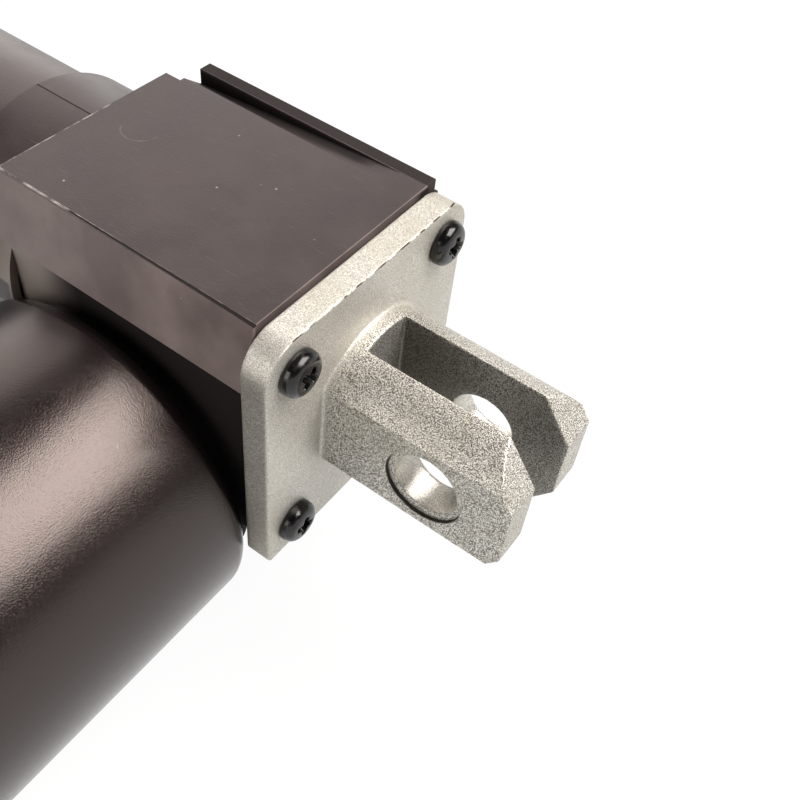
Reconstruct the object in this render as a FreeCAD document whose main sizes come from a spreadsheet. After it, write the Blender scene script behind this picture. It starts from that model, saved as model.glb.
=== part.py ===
"""Right-angle electric linear actuator: rear clevis, worm gear housing, motor, tube, spindle and rod.

The origin is the middle of the rear clevis pin hole. X runs along the spindle towards the rod end,
Y runs along the motor axis away from the housing, and Z points up. All sizes are millimetres.
"""
import FreeCAD, Part
import math
import os
import re

import Sketcher

V = FreeCAD.Vector
Turn = FreeCAD.Rotation

# Driving dimensions, in the order of the sub-assemblies
SIZES = {
    # how far a cutting shape runs past the face it cuts
    "overcut": 1.0,
    # rear clevis casting and its twin on the rod
    "plate_size": 45.0,
    "plate_thick": 4.5,
    "plate_top_round": 5.8,
    "plate_low_round": 1.0,
    "clevis_diameter": 26.2,
    "clevis_width": 21.2,
    "slot_width": 8.7,
    "slot_floor": 2.6,
    "pin_bore": 10.1,
    "relief_step": 1.2,
    "relief_depth": 0.7,
    "pin_offset": 17.5,
    "ear_reach": 13.5,
    "ear_end_height": 10.8,
    "ear_chamfer": 5.8,
    # flange screws
    "flange_pitch": 33.4,
    "flange_screw": 3.5,
    "flange_grip": 15.0,
    "head_diameter": 7.0,
    "head_height": 2.4,
    "head_crown": 1.2,
    "recess_span": 4.0,
    "recess_width": 1.0,
    "recess_depth": 1.5,
    "screw_play": 0.25,
    # gear housing
    "gasket_thick": 0.5,
    "gasket_margin": 1.5,
    "front_run": 19.1,
    "housing_top": 22.9,
    "housing_low": 22.5,
    "seam_side": 18.5,
    "far_side": 20.9,
    "chamber_half": 15.2,
    "rear_block": 12.5,
    "front_wall": 7.0,
    "lip_thick": 0.4,
    "wall_edge_side": 2.8,
    "wall_edge_height": 12.2,
    "wall_recess": 1.0,
    "wall_undercut": 1.2,
    "collar_wall": 1.5,
    "collar_length": 13.5,
    "groove_inner": 15.0,
    "groove_outer": 18.6,
    "groove_foot": 0.2,
    "groove_depth": 2.5,
    "groove_start": 4.4,
    "notch_length": 3.0,
    "notch_inner": 14.2,
    "notch_height": 10.0,
    "trough_wall": 2.8,
    "case_screw": 2.8,
    "case_head": 5.4,
    "case_head_height": 2.2,
    "case_boss": 6.0,
    "case_boss_reach": 9.5,
    "case_screw_tip": 1.5,
    "case_screw_level": 18.4,
    "case_screw_rear": 13.2,
    "case_screw_mid": 7.1,
    "case_screw_front": 16.5,
    # worm gear
    "boss_gap": 2.65,
    "centre_distance": 20.4,
    "gear_module": 1.25,
    "wheel_teeth": 20,
    "pressure_angle": 20.0,
    "wheel_width": 10.0,
    "tooth_addendum": 1.0,
    "tooth_dedendum": 1.45,
    "flank_play": 0.35,
    "worm_turns": 5.5,
    "worm_hub": 4.0,
    "gear_room": 0.9,
    # motor
    "boss_edge": 0.6,
    "boss_length": 2.7,
    "motor_diameter": 57.5,
    "can_length": 92.0,
    "can_wall": 2.0,
    "can_round": 3.0,
    "pilot_diameter": 19.4,
    "pilot_length": 4.0,
    "shaft_diameter": 8.0,
    "worm_journal": 6.0,
    "shaft_play": 0.05,
    "bush_wall": 3.0,
    "bush_length": 8.0,
    "worm_bush_length": 5.0,
    "core_length": 48.0,
    "core_setback": 22.0,
    "core_slots": 12,
    "core_slot_width": 3.0,
    "core_slot_depth": 7.0,
    "winding_length": 8.0,
    "winding_inset": 2.3,
    "winding_bore": 20.0,
    "winding_gap": 1.0,
    "commutator_diameter": 20.0,
    "commutator_length": 10.0,
    "magnet_thick": 5.8,
    "magnet_arc": 130.0,
    "magnet_overhang": 2.0,
    "air_gap": 1.4,
    "brush_width": 6.0,
    "brush_length": 9.0,
    "brush_card": 2.5,
    "card_play": 1.0,
    "spring_wire": 0.7,
    "spring_turns": 4.0,
    "spring_room": 2.0,
    "cap_thick": 6.0,
    "cap_spigot": 1.5,
    "cap_dome": 3.0,
    "dome_wall": 3.0,
    "bolt_inset": 4.1,
    "bolt_diameter": 4.0,
    "bolt_tip": 0.0,
    "bolt_head": 7.0,
    "bolt_head_height": 2.8,
    "grommet_diameter": 11.0,
    "grommet_bore": 6.0,
    "grommet_lip": 1.5,
    "grommet_length": 7.0,
    "grommet_offset": 18.0,
    # spindle
    "screw_diameter": 14.0,
    "screw_lead": 4.0,
    "thread_depth": 1.75,
    "thread_crest": 1.1,
    "thread_root": 2.2,
    "thread_play": 0.3,
    "thread_runout": 2.0,
    "thread_sink": 0.1,
    "wheel_seat": 14.0,
    "rear_journal": 12.0,
    "front_journal": 15.0,
    "rear_bearing": 28.0,
    "rear_bearing_width": 8.0,
    "front_bearing": 28.0,
    "shoulder_diameter": 19.0,
    "shoulder_length": 3.6,
    "spacer_wall": 3.0,
    "lock_flats": 16.0,
    "lock_length": 3.6,
    "key_width": 4.0,
    "key_length": 8.0,
    "key_sink": 2.0,
    "key_rise": 2.0,
    "ball_play": 0.25,
    "ball_share": 0.15,
    "land_share": 0.6,
    "rear_balls": 8,
    "front_balls": 9,
    "seat_play": 0.3,
    # outer tube and its front end
    "tube_wall": 1.8,
    "retainer_length": 3.0,
    "retainer_play": 1.0,
    "rear_run": 16.5,
    "end_gap": 8.0,
    "guide_length": 22.0,
    "guide_play": 0.1,
    "front_cap_skirt": 1.9,
    "front_cap_overlap": 10.0,
    "front_cap_wall": 6.0,
    "wiper_length": 3.5,
    "wiper_wall": 5.0,
    "wiper_play": 0.2,
    "cap_screw": 2.6,
    "cap_screw_head": 4.6,
    "cap_screws": 3,
    "cap_screw_turn": 90.0,
    "cap_rod_play": 0.6,
    # rod
    "stroke": 100.0,
    "screw_room": 0.5,
    "rod_room": 0.6,
    "rod_wall": 2.5,
    "rod_show": 10.0,
    "nut_thread": 18.0,
    "nut_socket": 12.0,
    "nut_overrun": 2,
    "nut_play": 0.4,
    "nut_pin": 3.0,
    "nut_pin_sink": 1.0,
    "plug_length": 14.0,
    "rod_pin": 4.0,
    "rod_pin_sink": 0.5,
    # limit switches
    "carrier_thick": 2.5,
    "carrier_gap": 2.0,
    "switch_length": 12.8,
    "switch_width": 5.8,
    "switch_height": 4.6,
    "switch_offset": 6.0,
    "plunger_length": 2.0,
    "plunger_width": 3.0,
    "plunger_height": 1.1,
    "plunger_rise": 0.4,
    "plunger_well": 1.4,
}

# Stations and levels that follow from the driving dimensions
PLACES = {
    "plate_half": "plate_size / 2",
    "plate_front": "pin_offset + plate_thick",
    "screw_off": "flange_pitch / 2",
    "housing_rear": "plate_front + gasket_thick",
    "worm_x": "housing_rear + boss_radius + boss_gap",
    "housing_front": "worm_x + front_run",
    "housing_length": "housing_front - housing_rear",
    "chamber_rear": "housing_rear + rear_block",
    "chamber_front": "housing_front - front_wall",
    "worm_z": "0 - centre_distance",
    "wheel_radius": "gear_module * wheel_teeth / 2",
    "worm_radius": "centre_distance - wheel_radius",
    "worm_tip": "worm_radius + tooth_addendum",
    "worm_root": "worm_radius - tooth_dedendum",
    "worm_bore": "worm_tip + gear_room",
    "trough_radius": "worm_bore + trough_wall",
    "worm_pitch": "gear_module * pi",
    "worm_half": "worm_pitch * worm_turns / 2",
    "wheel_rear": "worm_x - wheel_width / 2",
    "wheel_front": "worm_x + wheel_width / 2",
    "wall_side": "seam_side + wall_edge_side",
    "recess_side": "seam_side + wall_recess",
    "boss_end": "seam_side + boss_length",
    "can_front": "boss_end + gasket_thick",
    "can_radius": "motor_diameter / 2",
    "can_bore": "can_radius - can_wall",
    "can_end": "can_front + can_length",
    "cap_end": "can_end + cap_thick",
    "core_start": "can_front + core_setback",
    "core_end": "core_start + core_length",
    "commutator_start": "core_end + winding_length + winding_gap",
    "commutator_end": "commutator_start + commutator_length",
    "brush_mid": "commutator_start + commutator_length / 2",
    "magnet_bore": "can_bore - magnet_thick",
    "bolt_off": "can_bore - bolt_inset",
    "boss_radius": "bolt_off + bolt_diameter / 2 + boss_edge",
    "core_radius": "magnet_bore - air_gap",
    "worm_bush_far": "0 - chamber_half - worm_bush_length",
    "journal_far": "worm_bush_far + seat_play",
    "rod_bore": "screw_diameter / 2 + screw_room",
    "rod_radius": "rod_bore + rod_wall",
    "tube_bore": "rod_radius + rod_room + plunger_rise + switch_height + carrier_thick",
    "tube_radius": "tube_bore + tube_wall",
    "carrier_level": "tube_bore - carrier_thick",
    "nut_flat": "carrier_level - switch_height - plunger_rise - seat_play",
    "nut_rear": "housing_front + rear_run",
    "nut_step": "nut_rear + nut_thread",
    "nut_front": "nut_step + nut_socket",
    "guide_rear": "nut_front + stroke + end_gap",
    "tube_end": "guide_rear + guide_length",
    "cap_rear": "tube_end - front_cap_overlap",
    "front_cap_radius": "tube_radius + front_cap_skirt",
    "cap_front": "tube_end + front_cap_wall",
    "rod_front": "cap_front + rod_show",
    "rod_pin_x": "rod_front - plug_length / 2",
    "front_pin_x": "rod_front + pin_offset",
    "screw_end": "nut_step + stroke + thread_runout",
    "thread_start": "housing_front + shoulder_length + thread_runout",
    "rear_bearing_rear": "chamber_rear - rear_bearing_width",
    "seat_front": "wheel_front + seat_play",
    "carrier_rear": "housing_front + retainer_length + carrier_gap",
    "carrier_front": "guide_rear - carrier_gap",
    "switch_top": "0 - carrier_level + switch_height",
    "rear_switch_x": "nut_rear + switch_offset",
    "front_switch_x": "nut_rear + switch_offset + stroke",
}

NODES = []

doc = FreeCAD.newDocument("linear_actuator")
dims = doc.addObject("Spreadsheet::Sheet", "dims")
for row, (alias, size) in enumerate(SIZES.items(), start=1):
    dims.set(f"A{row}", alias.replace("_", " "))
    dims.set(f"B{row}", str(size))
    dims.setAlias(f"B{row}", alias)
doc.recompute()


def bound(text):
    """Turns a formula in size and place names into one that reads the sheet."""

    def swap(match):
        word = match.group(0)
        if word in PLACES:
            return f"({bound(PLACES[word])})"
        return f"dims.{word}" if word in SIZES else word

    return re.sub(r"[a-z][a-z_]*", swap, text)


def minus(text):
    """The formula for the opposite of a size."""
    return f"0 - ({text})"


def place(thing, x="0", y="0", z="0"):
    """Binds the position of an object to three formulas."""
    for letter, text in zip("xyz", (x, y, z)):
        thing.setExpression(f"Placement.Base.{letter}", bound(text))


def node(thing, name):
    """Names a finished piece and adds it to the list that is written out."""
    thing.Label = name
    NODES.append(thing)
    return thing


# circle on which the corners of a new outline start, before their formulas place them
SKETCH_RADIUS = 10.0

LIE = {"x": Turn(V(0, 1, 0), 90), "y": Turn(V(1, 0, 0), -90), "z": Turn()}


def along(axis, start, across):
    """The three position formulas of something that starts at a station on an axis."""
    first, second = across
    return {"x": (start, first, second), "y": (first, start, second), "z": (first, second, start)}[axis]


def bar(name, axis, radius, start, end, across=("0", "0")):
    """A round bar from one station to another along an axis."""
    thing = doc.addObject("Part::Cylinder", name)
    thing.Placement.Rotation = LIE[axis]
    thing.setExpression("Radius", bound(radius))
    thing.setExpression("Height", bound(f"({end}) - ({start})"))
    place(thing, *along(axis, start, across))
    return thing


def block(name, x, y, z):
    """A box between a low and a high formula on each axis."""
    thing = doc.addObject("Part::Box", name)
    for side, (low, high) in zip(("Length", "Width", "Height"), (x, y, z)):
        thing.setExpression(side, bound(f"({high}) - ({low})"))
    place(thing, x[0], y[0], z[0])
    return thing


def fuse(name, *pieces):
    """One solid from several that overlap or share faces."""
    thing = doc.addObject("Part::MultiFuse", name)
    thing.Shapes = list(pieces)
    thing.Refine = True
    return thing


def cut(name, base, *tools):
    """A solid with the tools taken out of it."""
    thing = doc.addObject("Part::Cut", name)
    thing.Base = base
    thing.Tool = tools[0] if len(tools) == 1 else fuse(f"{name}_tools", *tools)
    thing.Refine = True
    return thing


def common(name, first, second):
    """The part that two solids share."""
    thing = doc.addObject("Part::Common", name)
    thing.Base = first
    thing.Tool = second
    return thing


def group(name, pieces):
    """Separate solids that are listed as one piece, such as equal fasteners."""
    thing = doc.addObject("Part::Compound", name)
    thing.Links = list(pieces)
    return thing


def sleeve(name, axis, outer, inner, start, end, across=("0", "0")):
    """A round tube from one station to another along an axis."""
    skin = bar(f"{name}_skin", axis, outer, start, end, across)
    hole = bar(f"{name}_hole", axis, inner, f"({start}) - overcut", f"({end}) + overcut", across)
    return cut(name, skin, hole)


def prism(name, plane, outline, length):
    """A body padded from a polygon on an origin plane, each corner bound to its two formulas."""
    body = doc.addObject("PartDesign::Body", name)
    sketch = body.newObject("Sketcher::SketchObject", f"{name}_outline")
    support = [face for face in body.Origin.OriginFeatures if face.Role == plane][0]
    sketch.AttachmentSupport = (support, [""])
    sketch.MapMode = "FlatFace"
    count = len(outline)
    angles = [math.radians(angle) for angle in ring_places(count)]
    draft = [V(SKETCH_RADIUS * math.cos(angle), SKETCH_RADIUS * math.sin(angle), 0) for angle in angles]
    for i in range(count):
        sketch.addGeometry(Part.LineSegment(draft[i], draft[(i + 1) % count]))
    for i in range(count):
        sketch.addConstraint(Sketcher.Constraint("Coincident", i, 2, (i + 1) % count, 1))
    for i, corner in enumerate(outline):
        for kind, first, text in zip(("DistanceX", "DistanceY"), (draft[i].x, draft[i].y), corner):
            number = sketch.addConstraint(Sketcher.Constraint(kind, -1, 1, i, 1, first))
            sketch.setExpression(f"Constraints[{number}]", bound(text))
    pad = body.newObject("PartDesign::Pad", f"{name}_pad")
    pad.Profile = sketch
    pad.setExpression("Length", bound(length))
    doc.recompute()
    return body


def helix_thread(name, pitch, height, radius, profile):
    """A thread swept along a helix about Z. profile gives radius and height pairs as numbers."""
    path = doc.addObject("Part::Helix", f"{name}_path")
    path.setExpression("Pitch", bound(pitch))
    path.setExpression("Height", bound(height))
    path.setExpression("Radius", bound(radius))
    path.Style = 1
    section = doc.addObject("Part::Feature", f"{name}_section")
    corners = [V(out, 0, up) for out, up in profile]
    section.Shape = Part.makePolygon(corners + corners[:1])
    thread = doc.addObject("Part::Sweep", f"{name}_thread")
    thread.Sections = [section]
    thread.Spine = (path, ["Edge1"])
    thread.Solid = True
    thread.Frenet = True
    return thread


def ring_places(count, start=0.0):
    """Equal angles round a circle, in degrees."""
    return [start + 360.0 * i / count for i in range(count)]


def clevis_bar(name, face, hand):
    """A round bar with two flats, a slot, chamfered ears and a cross hole.

    face is the formula of the station that the bar grows from, and hand is -1 where the ears point
    to -X and 1 where they point to +X.
    """
    sign = "-" if hand < 0 else "+"
    pin = f"({face}) {sign} pin_offset"
    tip = f"({pin}) {sign} ear_reach"
    floor = f"({face}) {sign} slot_floor"
    shoulder = f"({tip}) {'+' if hand < 0 else '-'} ear_chamfer"
    low, high = (tip, face) if hand < 0 else (face, tip)
    radius = "clevis_diameter / 2"
    blank = common(
        f"{name}_flats",
        bar(f"{name}_round", "x", radius, low, high),
        block(f"{name}_width", (low, high), (minus("clevis_width / 2"), "clevis_width / 2"),
              (minus(radius), radius)),
    )
    slot_x = (f"({tip}) - overcut", floor) if hand < 0 else (floor, f"({tip}) + overcut")
    tools = [block(f"{name}_slot", slot_x, (minus("slot_width / 2"), "slot_width / 2"),
                   (f"0 - {radius} - overcut", f"{radius} + overcut"))]
    tools.append(bar(f"{name}_pin_hole", "y", "pin_bore / 2", "0 - clevis_width", "clevis_width", (pin, "0")))
    for side, (start, end) in {
        "motor": ("clevis_width / 2 - relief_depth", "clevis_width"),
        "far": ("0 - clevis_width", "relief_depth - clevis_width / 2"),
    }.items():
        tools.append(bar(f"{name}_{side}_relief", "y", "pin_bore / 2 + relief_step", start, end, (pin, "0")))
    for side, up in {"top": "", "low": "0 - "}.items():
        wedge = prism(
            f"{name}_{side}_chamfer", "XZ_Plane",
            [(shoulder, f"{up}({radius})"), (tip, f"{up}(ear_end_height / 2)"),
             (f"({tip}) {sign} overcut", f"{up}(ear_end_height / 2)"),
             (f"({tip}) {sign} overcut", f"{up}({radius} + overcut)"),
             (shoulder, f"{up}({radius} + overcut)")],
            "clevis_width * 2")
        place(wedge, y="clevis_width")
        tools.append(wedge)
    return cut(f"{name}_bar", blank, *tools)


def pan_screw(name, y, z):
    """A cross-recess pan-head screw whose head sits on the outer face of the flange plate."""
    across = (y, z)
    face = "pin_offset"
    crown = "head_height - head_crown"
    dome = "(head_diameter * head_diameter / 4 + head_crown * head_crown) / (2 * head_crown)"
    ball = doc.addObject("Part::Sphere", f"{name}_dome")
    ball.setExpression("Radius", bound(dome))
    place(ball, f"{face} - ({crown}) - head_crown + {dome}", y, z)
    head = common(
        f"{name}_head",
        bar(f"{name}_blank", "x", "head_diameter / 2", f"{face} - head_height", face, across), ball)
    recess = []
    for way, (wide, tall) in {"across": ("recess_span", "recess_width"),
                              "upright": ("recess_width", "recess_span")}.items():
        recess.append(block(
            f"{name}_{way}", (f"{face} - head_height - overcut", f"{face} - head_height + recess_depth"),
            (f"({y}) - {wide} / 2", f"({y}) + {wide} / 2"), (f"({z}) - {tall} / 2", f"({z}) + {tall} / 2")))
    shank = bar(f"{name}_shank", "x", "flange_screw / 2", face, f"{face} + flange_grip", across)
    return cut(name, fuse(f"{name}_solid", head, shank), *recess)


def flange_corners():
    """The four screw positions on the flange plate."""
    return [(f"{a}screw_off", f"{b}screw_off") for a in ("", "0 - ") for b in ("", "0 - ")]


def rear_clevis():
    """The cast flange plate with its clevis bar."""
    half = "plate_half"
    x = ("pin_offset", "plate_front")
    top, low = "plate_top_round", "plate_low_round"
    inner_top, inner_low = f"{half} - {top}", f"{half} - {low}"
    slabs = [
        block("plate_core", x, (minus(inner_top), inner_top), (minus(half), half)),
        block("plate_band", x, (minus(half), half), (minus(inner_low), inner_top)),
        block("plate_foot", x, (minus(inner_low), inner_low), (minus(half), "0")),
    ]
    for side in ("", "0 - "):
        tag = "far" if side else "motor"
        slabs.append(bar(f"plate_top_{tag}", "x", top, *x, (f"{side}({inner_top})", inner_top)))
        slabs.append(bar(f"plate_low_{tag}", "x", low, *x, (f"{side}({inner_low})", minus(inner_low))))
    holes = [bar(f"plate_hole_{i}", "x", "flange_screw / 2 + screw_play", "pin_offset - overcut",
                 "plate_front + overcut", at) for i, at in enumerate(flange_corners())]
    plate = cut("plate_drilled", fuse("plate", *slabs), *holes)
    node(fuse("rear_casting", plate, clevis_bar("rear", "pin_offset", -1)), "rear_clevis")
    screws = [pan_screw(f"flange_screw_{i}", *at) for i, at in enumerate(flange_corners())]
    node(group("flange_screws", screws), "rear_clevis_screws")


def rear_gasket():
    """The thin sheet between the flange plate and the housing."""
    reach = "plate_half - gasket_margin"
    sheet = block("gasket_sheet", ("plate_front", "housing_rear"), (minus(reach), "seam_side"),
                  (minus(reach), reach))
    holes = [bar(f"gasket_hole_{i}", "x", "flange_screw / 2 + screw_play", "plate_front - overcut",
                 "housing_rear + overcut", at) for i, at in enumerate(flange_corners())]
    node(cut("gasket", sheet, *holes), "rear_gasket")


CASE_SCREWS = {
    "rear_top": ("worm_x - case_screw_rear", "case_screw_level"),
    "mid_top": ("worm_x + case_screw_mid", "case_screw_level"),
    "rear_low": ("worm_x - case_screw_rear", "0 - case_screw_level"),
    "front_low": ("worm_x + case_screw_front", "0 - case_screw_level"),
}


def housing_halves():
    """The two moulded halves of the gear housing and the screws that close them."""
    length = ("housing_rear", "housing_front")
    worm = ("worm_x", "worm_z")
    collar = ("housing_front", "housing_front + collar_length")
    collar_radius = "tube_radius + collar_wall"
    shell = block("case_box", length, ("0 - far_side", "seam_side"), ("0 - housing_low", "housing_top"))
    trough = bar("case_trough", "y", "trough_radius", "0 - far_side", "seam_side", worm)
    far_collar = common(
        "case_collar", bar("case_collar_round", "x", collar_radius, *collar),
        block("case_collar_side", collar, (minus(collar_radius), "0"), (minus(collar_radius), collar_radius)))
    groove = doc.addObject("Part::Wedge", "case_groove")
    groove.Placement.Rotation = Turn(V(1, 0, 0), 90)
    groove_end = "housing_front - notch_length + overcut"
    for side, text in {
        "Ymin": "housing_top - groove_depth", "Ymax": "housing_top",
        "Xmin": "housing_front - notch_length - groove_foot", "Xmax": groove_end,
        "X2min": "housing_rear + groove_start", "X2max": groove_end,
        "Zmin": "groove_outer - groove_foot", "Zmax": "groove_outer",
        "Z2min": "groove_inner", "Z2max": "groove_outer",
    }.items():
        groove.setExpression(side, bound(text))
    tools = [
        groove,
        block("case_chamber", ("chamber_rear", "chamber_front"), ("0 - chamber_half", "seam_side + overcut"),
              ("0 - chamber_half", "chamber_half")),
        bar("case_worm_bore", "y", "worm_bore", "0 - chamber_half", "seam_side + overcut", worm),
        bar("case_bush_seat", "y", "worm_journal / 2 + bush_wall", "worm_bush_far",
            "overcut - chamber_half", worm),
        bar("case_rear_seat", "x", "rear_bearing / 2", "rear_bearing_rear", "chamber_rear + overcut"),
        bar("case_lock_room", "x", "lock_flats / 2 / cos(30) + seat_play", "housing_rear - overcut",
            "rear_bearing_rear + overcut"),
        bar("case_front_seat", "x", "front_bearing / 2", "chamber_front - overcut",
            "housing_front + overcut"),
        bar("case_tube_bore", "x", "tube_radius", "housing_front", "housing_front + collar_length + overcut"),
        block("case_notch", ("housing_front - notch_length", "housing_front + overcut"),
              ("0 - far_side - overcut", "0 - notch_inner"), ("notch_height", "housing_top + overcut")),
    ]
    tools += [bar(f"case_flange_hole_{i}", "x", "flange_screw / 2", "housing_rear - overcut",
                  "pin_offset + flange_grip", at) for i, at in enumerate(flange_corners())]
    for name, at in CASE_SCREWS.items():
        tools.append(bar(f"case_{name}_hole", "y", "case_screw / 2", "0 - far_side - overcut", "seam_side",
                         at))
        tools.append(bar(f"case_{name}_sink", "y", "case_head / 2 + screw_play", "0 - far_side - overcut",
                         "case_head_height - far_side", at))
        tools.append(bar(f"case_{name}_pocket", "y", "case_boss / 2 + screw_play",
                         "seam_side - case_boss_reach - screw_play", "seam_side + overcut", at))
    node(cut("case_far", fuse("case_far_solid", shell, trough, far_collar), *tools), "far_side_housing")

    wall = prism(
        "cover_wall", "YZ_Plane",
        [("seam_side", "housing_top"), ("seam_side + lip_thick", "housing_top"),
         ("wall_side", "wall_edge_height"), ("recess_side", "wall_edge_height - wall_undercut"),
         ("recess_side", "0 - housing_low"), ("seam_side", "0 - housing_low")],
        "housing_length")
    place(wall, x="housing_rear")
    motor_collar = common(
        "cover_collar", bar("cover_collar_round", "x", collar_radius, *collar),
        block("cover_collar_side", collar, ("0", collar_radius), (minus(collar_radius), collar_radius)))
    boss = bar("cover_boss", "y", "boss_radius", "seam_side", "boss_end", worm)
    pegs = [bar(f"cover_{name}_peg", "y", "case_boss / 2", "seam_side - case_boss_reach",
                "seam_side + lip_thick", at) for name, at in CASE_SCREWS.items()]
    cover_tools = [
        bar("cover_tube_bore", "x", "tube_radius", "housing_front",
            "housing_front + collar_length + overcut"),
        bar("cover_worm_bore", "y", "worm_bore", "seam_side - overcut", "boss_end + overcut", worm),
    ]
    cover_tools += [bar(f"cover_{name}_hole", "y", "case_screw / 2", "seam_side - case_boss_reach - overcut",
                        "seam_side - overcut", at) for name, at in CASE_SCREWS.items()]
    cover_tools += [bar(f"cover_bolt_hole_{i}", "y", "bolt_diameter / 2", "seam_side + bolt_tip",
                        "boss_end + overcut", at) for i, at in enumerate(motor_bolt_places())]
    node(cut("cover", fuse("cover_solid", wall, motor_collar, boss, *pegs), *cover_tools),
         "motor_side_housing")

    screws = []
    for name, at in CASE_SCREWS.items():
        head = bar(f"case_screw_{name}_head", "y", "case_head / 2", "0 - far_side",
                   "case_head_height - far_side", at)
        shank = bar(f"case_screw_{name}_shank", "y", "case_screw / 2", "0 - far_side",
                    "seam_side - case_screw_tip", at)
        slot = block(f"case_screw_{name}_slot", (f"{at[0]} - case_head", f"{at[0]} + case_head"),
                     ("0 - far_side - overcut", "case_head_height / 2 - far_side"),
                     (f"{at[1]} - recess_width / 2", f"{at[1]} + recess_width / 2"))
        screws.append(cut(f"case_screw_{name}", fuse(f"case_screw_{name}_solid", head, shank), slot))
    node(group("case_screws", screws), "housing_screws")


def motor_bolt_places():
    """The two through bolts above and below the motor axis."""
    return [("worm_x", "worm_z + bolt_off"), ("worm_x", "worm_z - bolt_off")]


def motor_case():
    """The motor can, its gasket, end cap, bolts and magnets."""
    axis = ("worm_x", "worm_z")
    node(sleeve("motor_sheet", "y", "bolt_off - bolt_diameter / 2 - gasket_margin", "worm_bore", "boss_end",
                "can_front", axis), "motor_gasket")

    rim = doc.addObject("Part::Torus", "can_rim")
    rim.Placement.Rotation = LIE["y"]
    rim.setExpression("Radius1", bound("can_radius - can_round"))
    rim.setExpression("Radius2", bound("can_round"))
    place(rim, "worm_x", "can_front + can_round", "worm_z")
    skin = fuse(
        "can_skin", rim,
        bar("can_face", "y", "can_radius - can_round", "can_front", "can_front + can_round", axis),
        bar("can_side", "y", "can_radius", "can_front + can_round", "can_end", axis),
        bar("can_pilot", "y", "pilot_diameter / 2", "can_front - pilot_length", "can_front + overcut", axis))
    hollow_round = "can_round - can_wall"
    bowl = doc.addObject("Part::Torus", "can_bowl")
    bowl.Placement.Rotation = LIE["y"]
    bowl.setExpression("Radius1", bound("can_radius - can_round"))
    bowl.setExpression("Radius2", bound(hollow_round))
    place(bowl, "worm_x", "can_front + can_round", "worm_z")
    hollow = fuse(
        "can_hollow", bowl,
        bar("can_hollow_face", "y", "can_radius - can_round", "can_front + can_wall",
            "can_front + can_round", axis),
        bar("can_hollow_side", "y", "can_bore", "can_front + can_round", "can_end + overcut", axis))
    seat = bar("can_bush_seat", "y", "shaft_diameter / 2 + bush_wall", "can_front - pilot_length - overcut",
               "can_front + can_wall + overcut", axis)
    holes = [bar(f"can_bolt_hole_{i}", "y", "bolt_diameter / 2 + screw_play", "can_front - overcut",
                 "can_front + can_round", at) for i, at in enumerate(motor_bolt_places())]
    node(cut("can", skin, hollow, seat, *holes), "motor_can")

    dome = bar("end_dome", "y", "shaft_diameter / 2 + bush_wall + dome_wall", "cap_end",
               "cap_end + cap_dome", axis)
    disc = bar("end_disc", "y", "can_radius", "can_end", "cap_end", axis)
    spigot = bar("end_spigot", "y", "can_bore", "can_end - cap_spigot", "can_end", axis)
    cord = ("worm_x + grommet_offset", "worm_z")
    end_tools = [
        bar("end_bush_seat", "y", "shaft_diameter / 2 + bush_wall", "can_end - cap_spigot - overcut",
            "can_end - cap_spigot + bush_length", axis),
        bar("end_cord_hole", "y", "grommet_diameter / 2 - grommet_lip", "can_end - cap_spigot - overcut",
            "cap_end + overcut", cord),
    ]
    end_tools += [bar(f"end_bolt_hole_{i}", "y", "bolt_diameter / 2 + screw_play",
                      "can_end - cap_spigot - overcut", "cap_end + overcut", at)
                  for i, at in enumerate(motor_bolt_places())]
    node(cut("end_cap", fuse("end_cap_solid", dome, disc, spigot), *end_tools), "motor_end_cap")

    flange = bar("grommet_flange", "y", "grommet_diameter / 2", "cap_end", "cap_end + grommet_length", cord)
    neck = bar("grommet_neck", "y", "grommet_diameter / 2 - grommet_lip", "can_end - cap_spigot",
               "cap_end", cord)
    hole = bar("grommet_hole", "y", "grommet_bore / 2", "can_end - cap_spigot - overcut",
               "cap_end + grommet_length + overcut", cord)
    node(cut("grommet", fuse("grommet_solid", flange, neck), hole), "cable_grommet")

    bolts = []
    for i, at in enumerate(motor_bolt_places()):
        head = bar(f"motor_bolt_{i}_head", "y", "bolt_head / 2", "cap_end", "cap_end + bolt_head_height", at)
        shank = bar(f"motor_bolt_{i}_shank", "y", "bolt_diameter / 2", "seam_side + bolt_tip", "cap_end", at)
        slot = block(f"motor_bolt_{i}_slot", (f"{at[0]} - bolt_head", f"{at[0]} + bolt_head"),
                     ("cap_end + bolt_head_height / 2", "cap_end + bolt_head_height + overcut"),
                     (f"{at[1]} - recess_width / 2", f"{at[1]} + recess_width / 2"))
        bolts.append(cut(f"motor_bolt_{i}", fuse(f"motor_bolt_{i}_solid", head, shank), slot))
    node(group("through_bolts", bolts), "motor_bolts")

    magnets = []
    for side, turn in {"front": 0.0, "rear": 180.0}.items():
        arc = doc.addObject("Part::Cylinder", f"magnet_{side}_arc")
        arc.setExpression("Radius", bound("can_bore"))
        arc.setExpression("Height", bound("core_length + 2 * magnet_overhang"))
        arc.setExpression("Angle", bound("magnet_arc"))
        arc.Placement.Rotation = LIE["y"].multiply(Turn(V(0, 0, 1), turn - dims.get("magnet_arc") / 2))
        place(arc, "worm_x", "core_start - magnet_overhang", "worm_z")
        hole = bar(f"magnet_{side}_hole", "y", "magnet_bore", "core_start - core_length",
                   "core_end + core_length", axis)
        magnets.append(cut(f"magnet_{side}", arc, hole))
    node(group("magnets", magnets), "motor_magnets")


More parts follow.
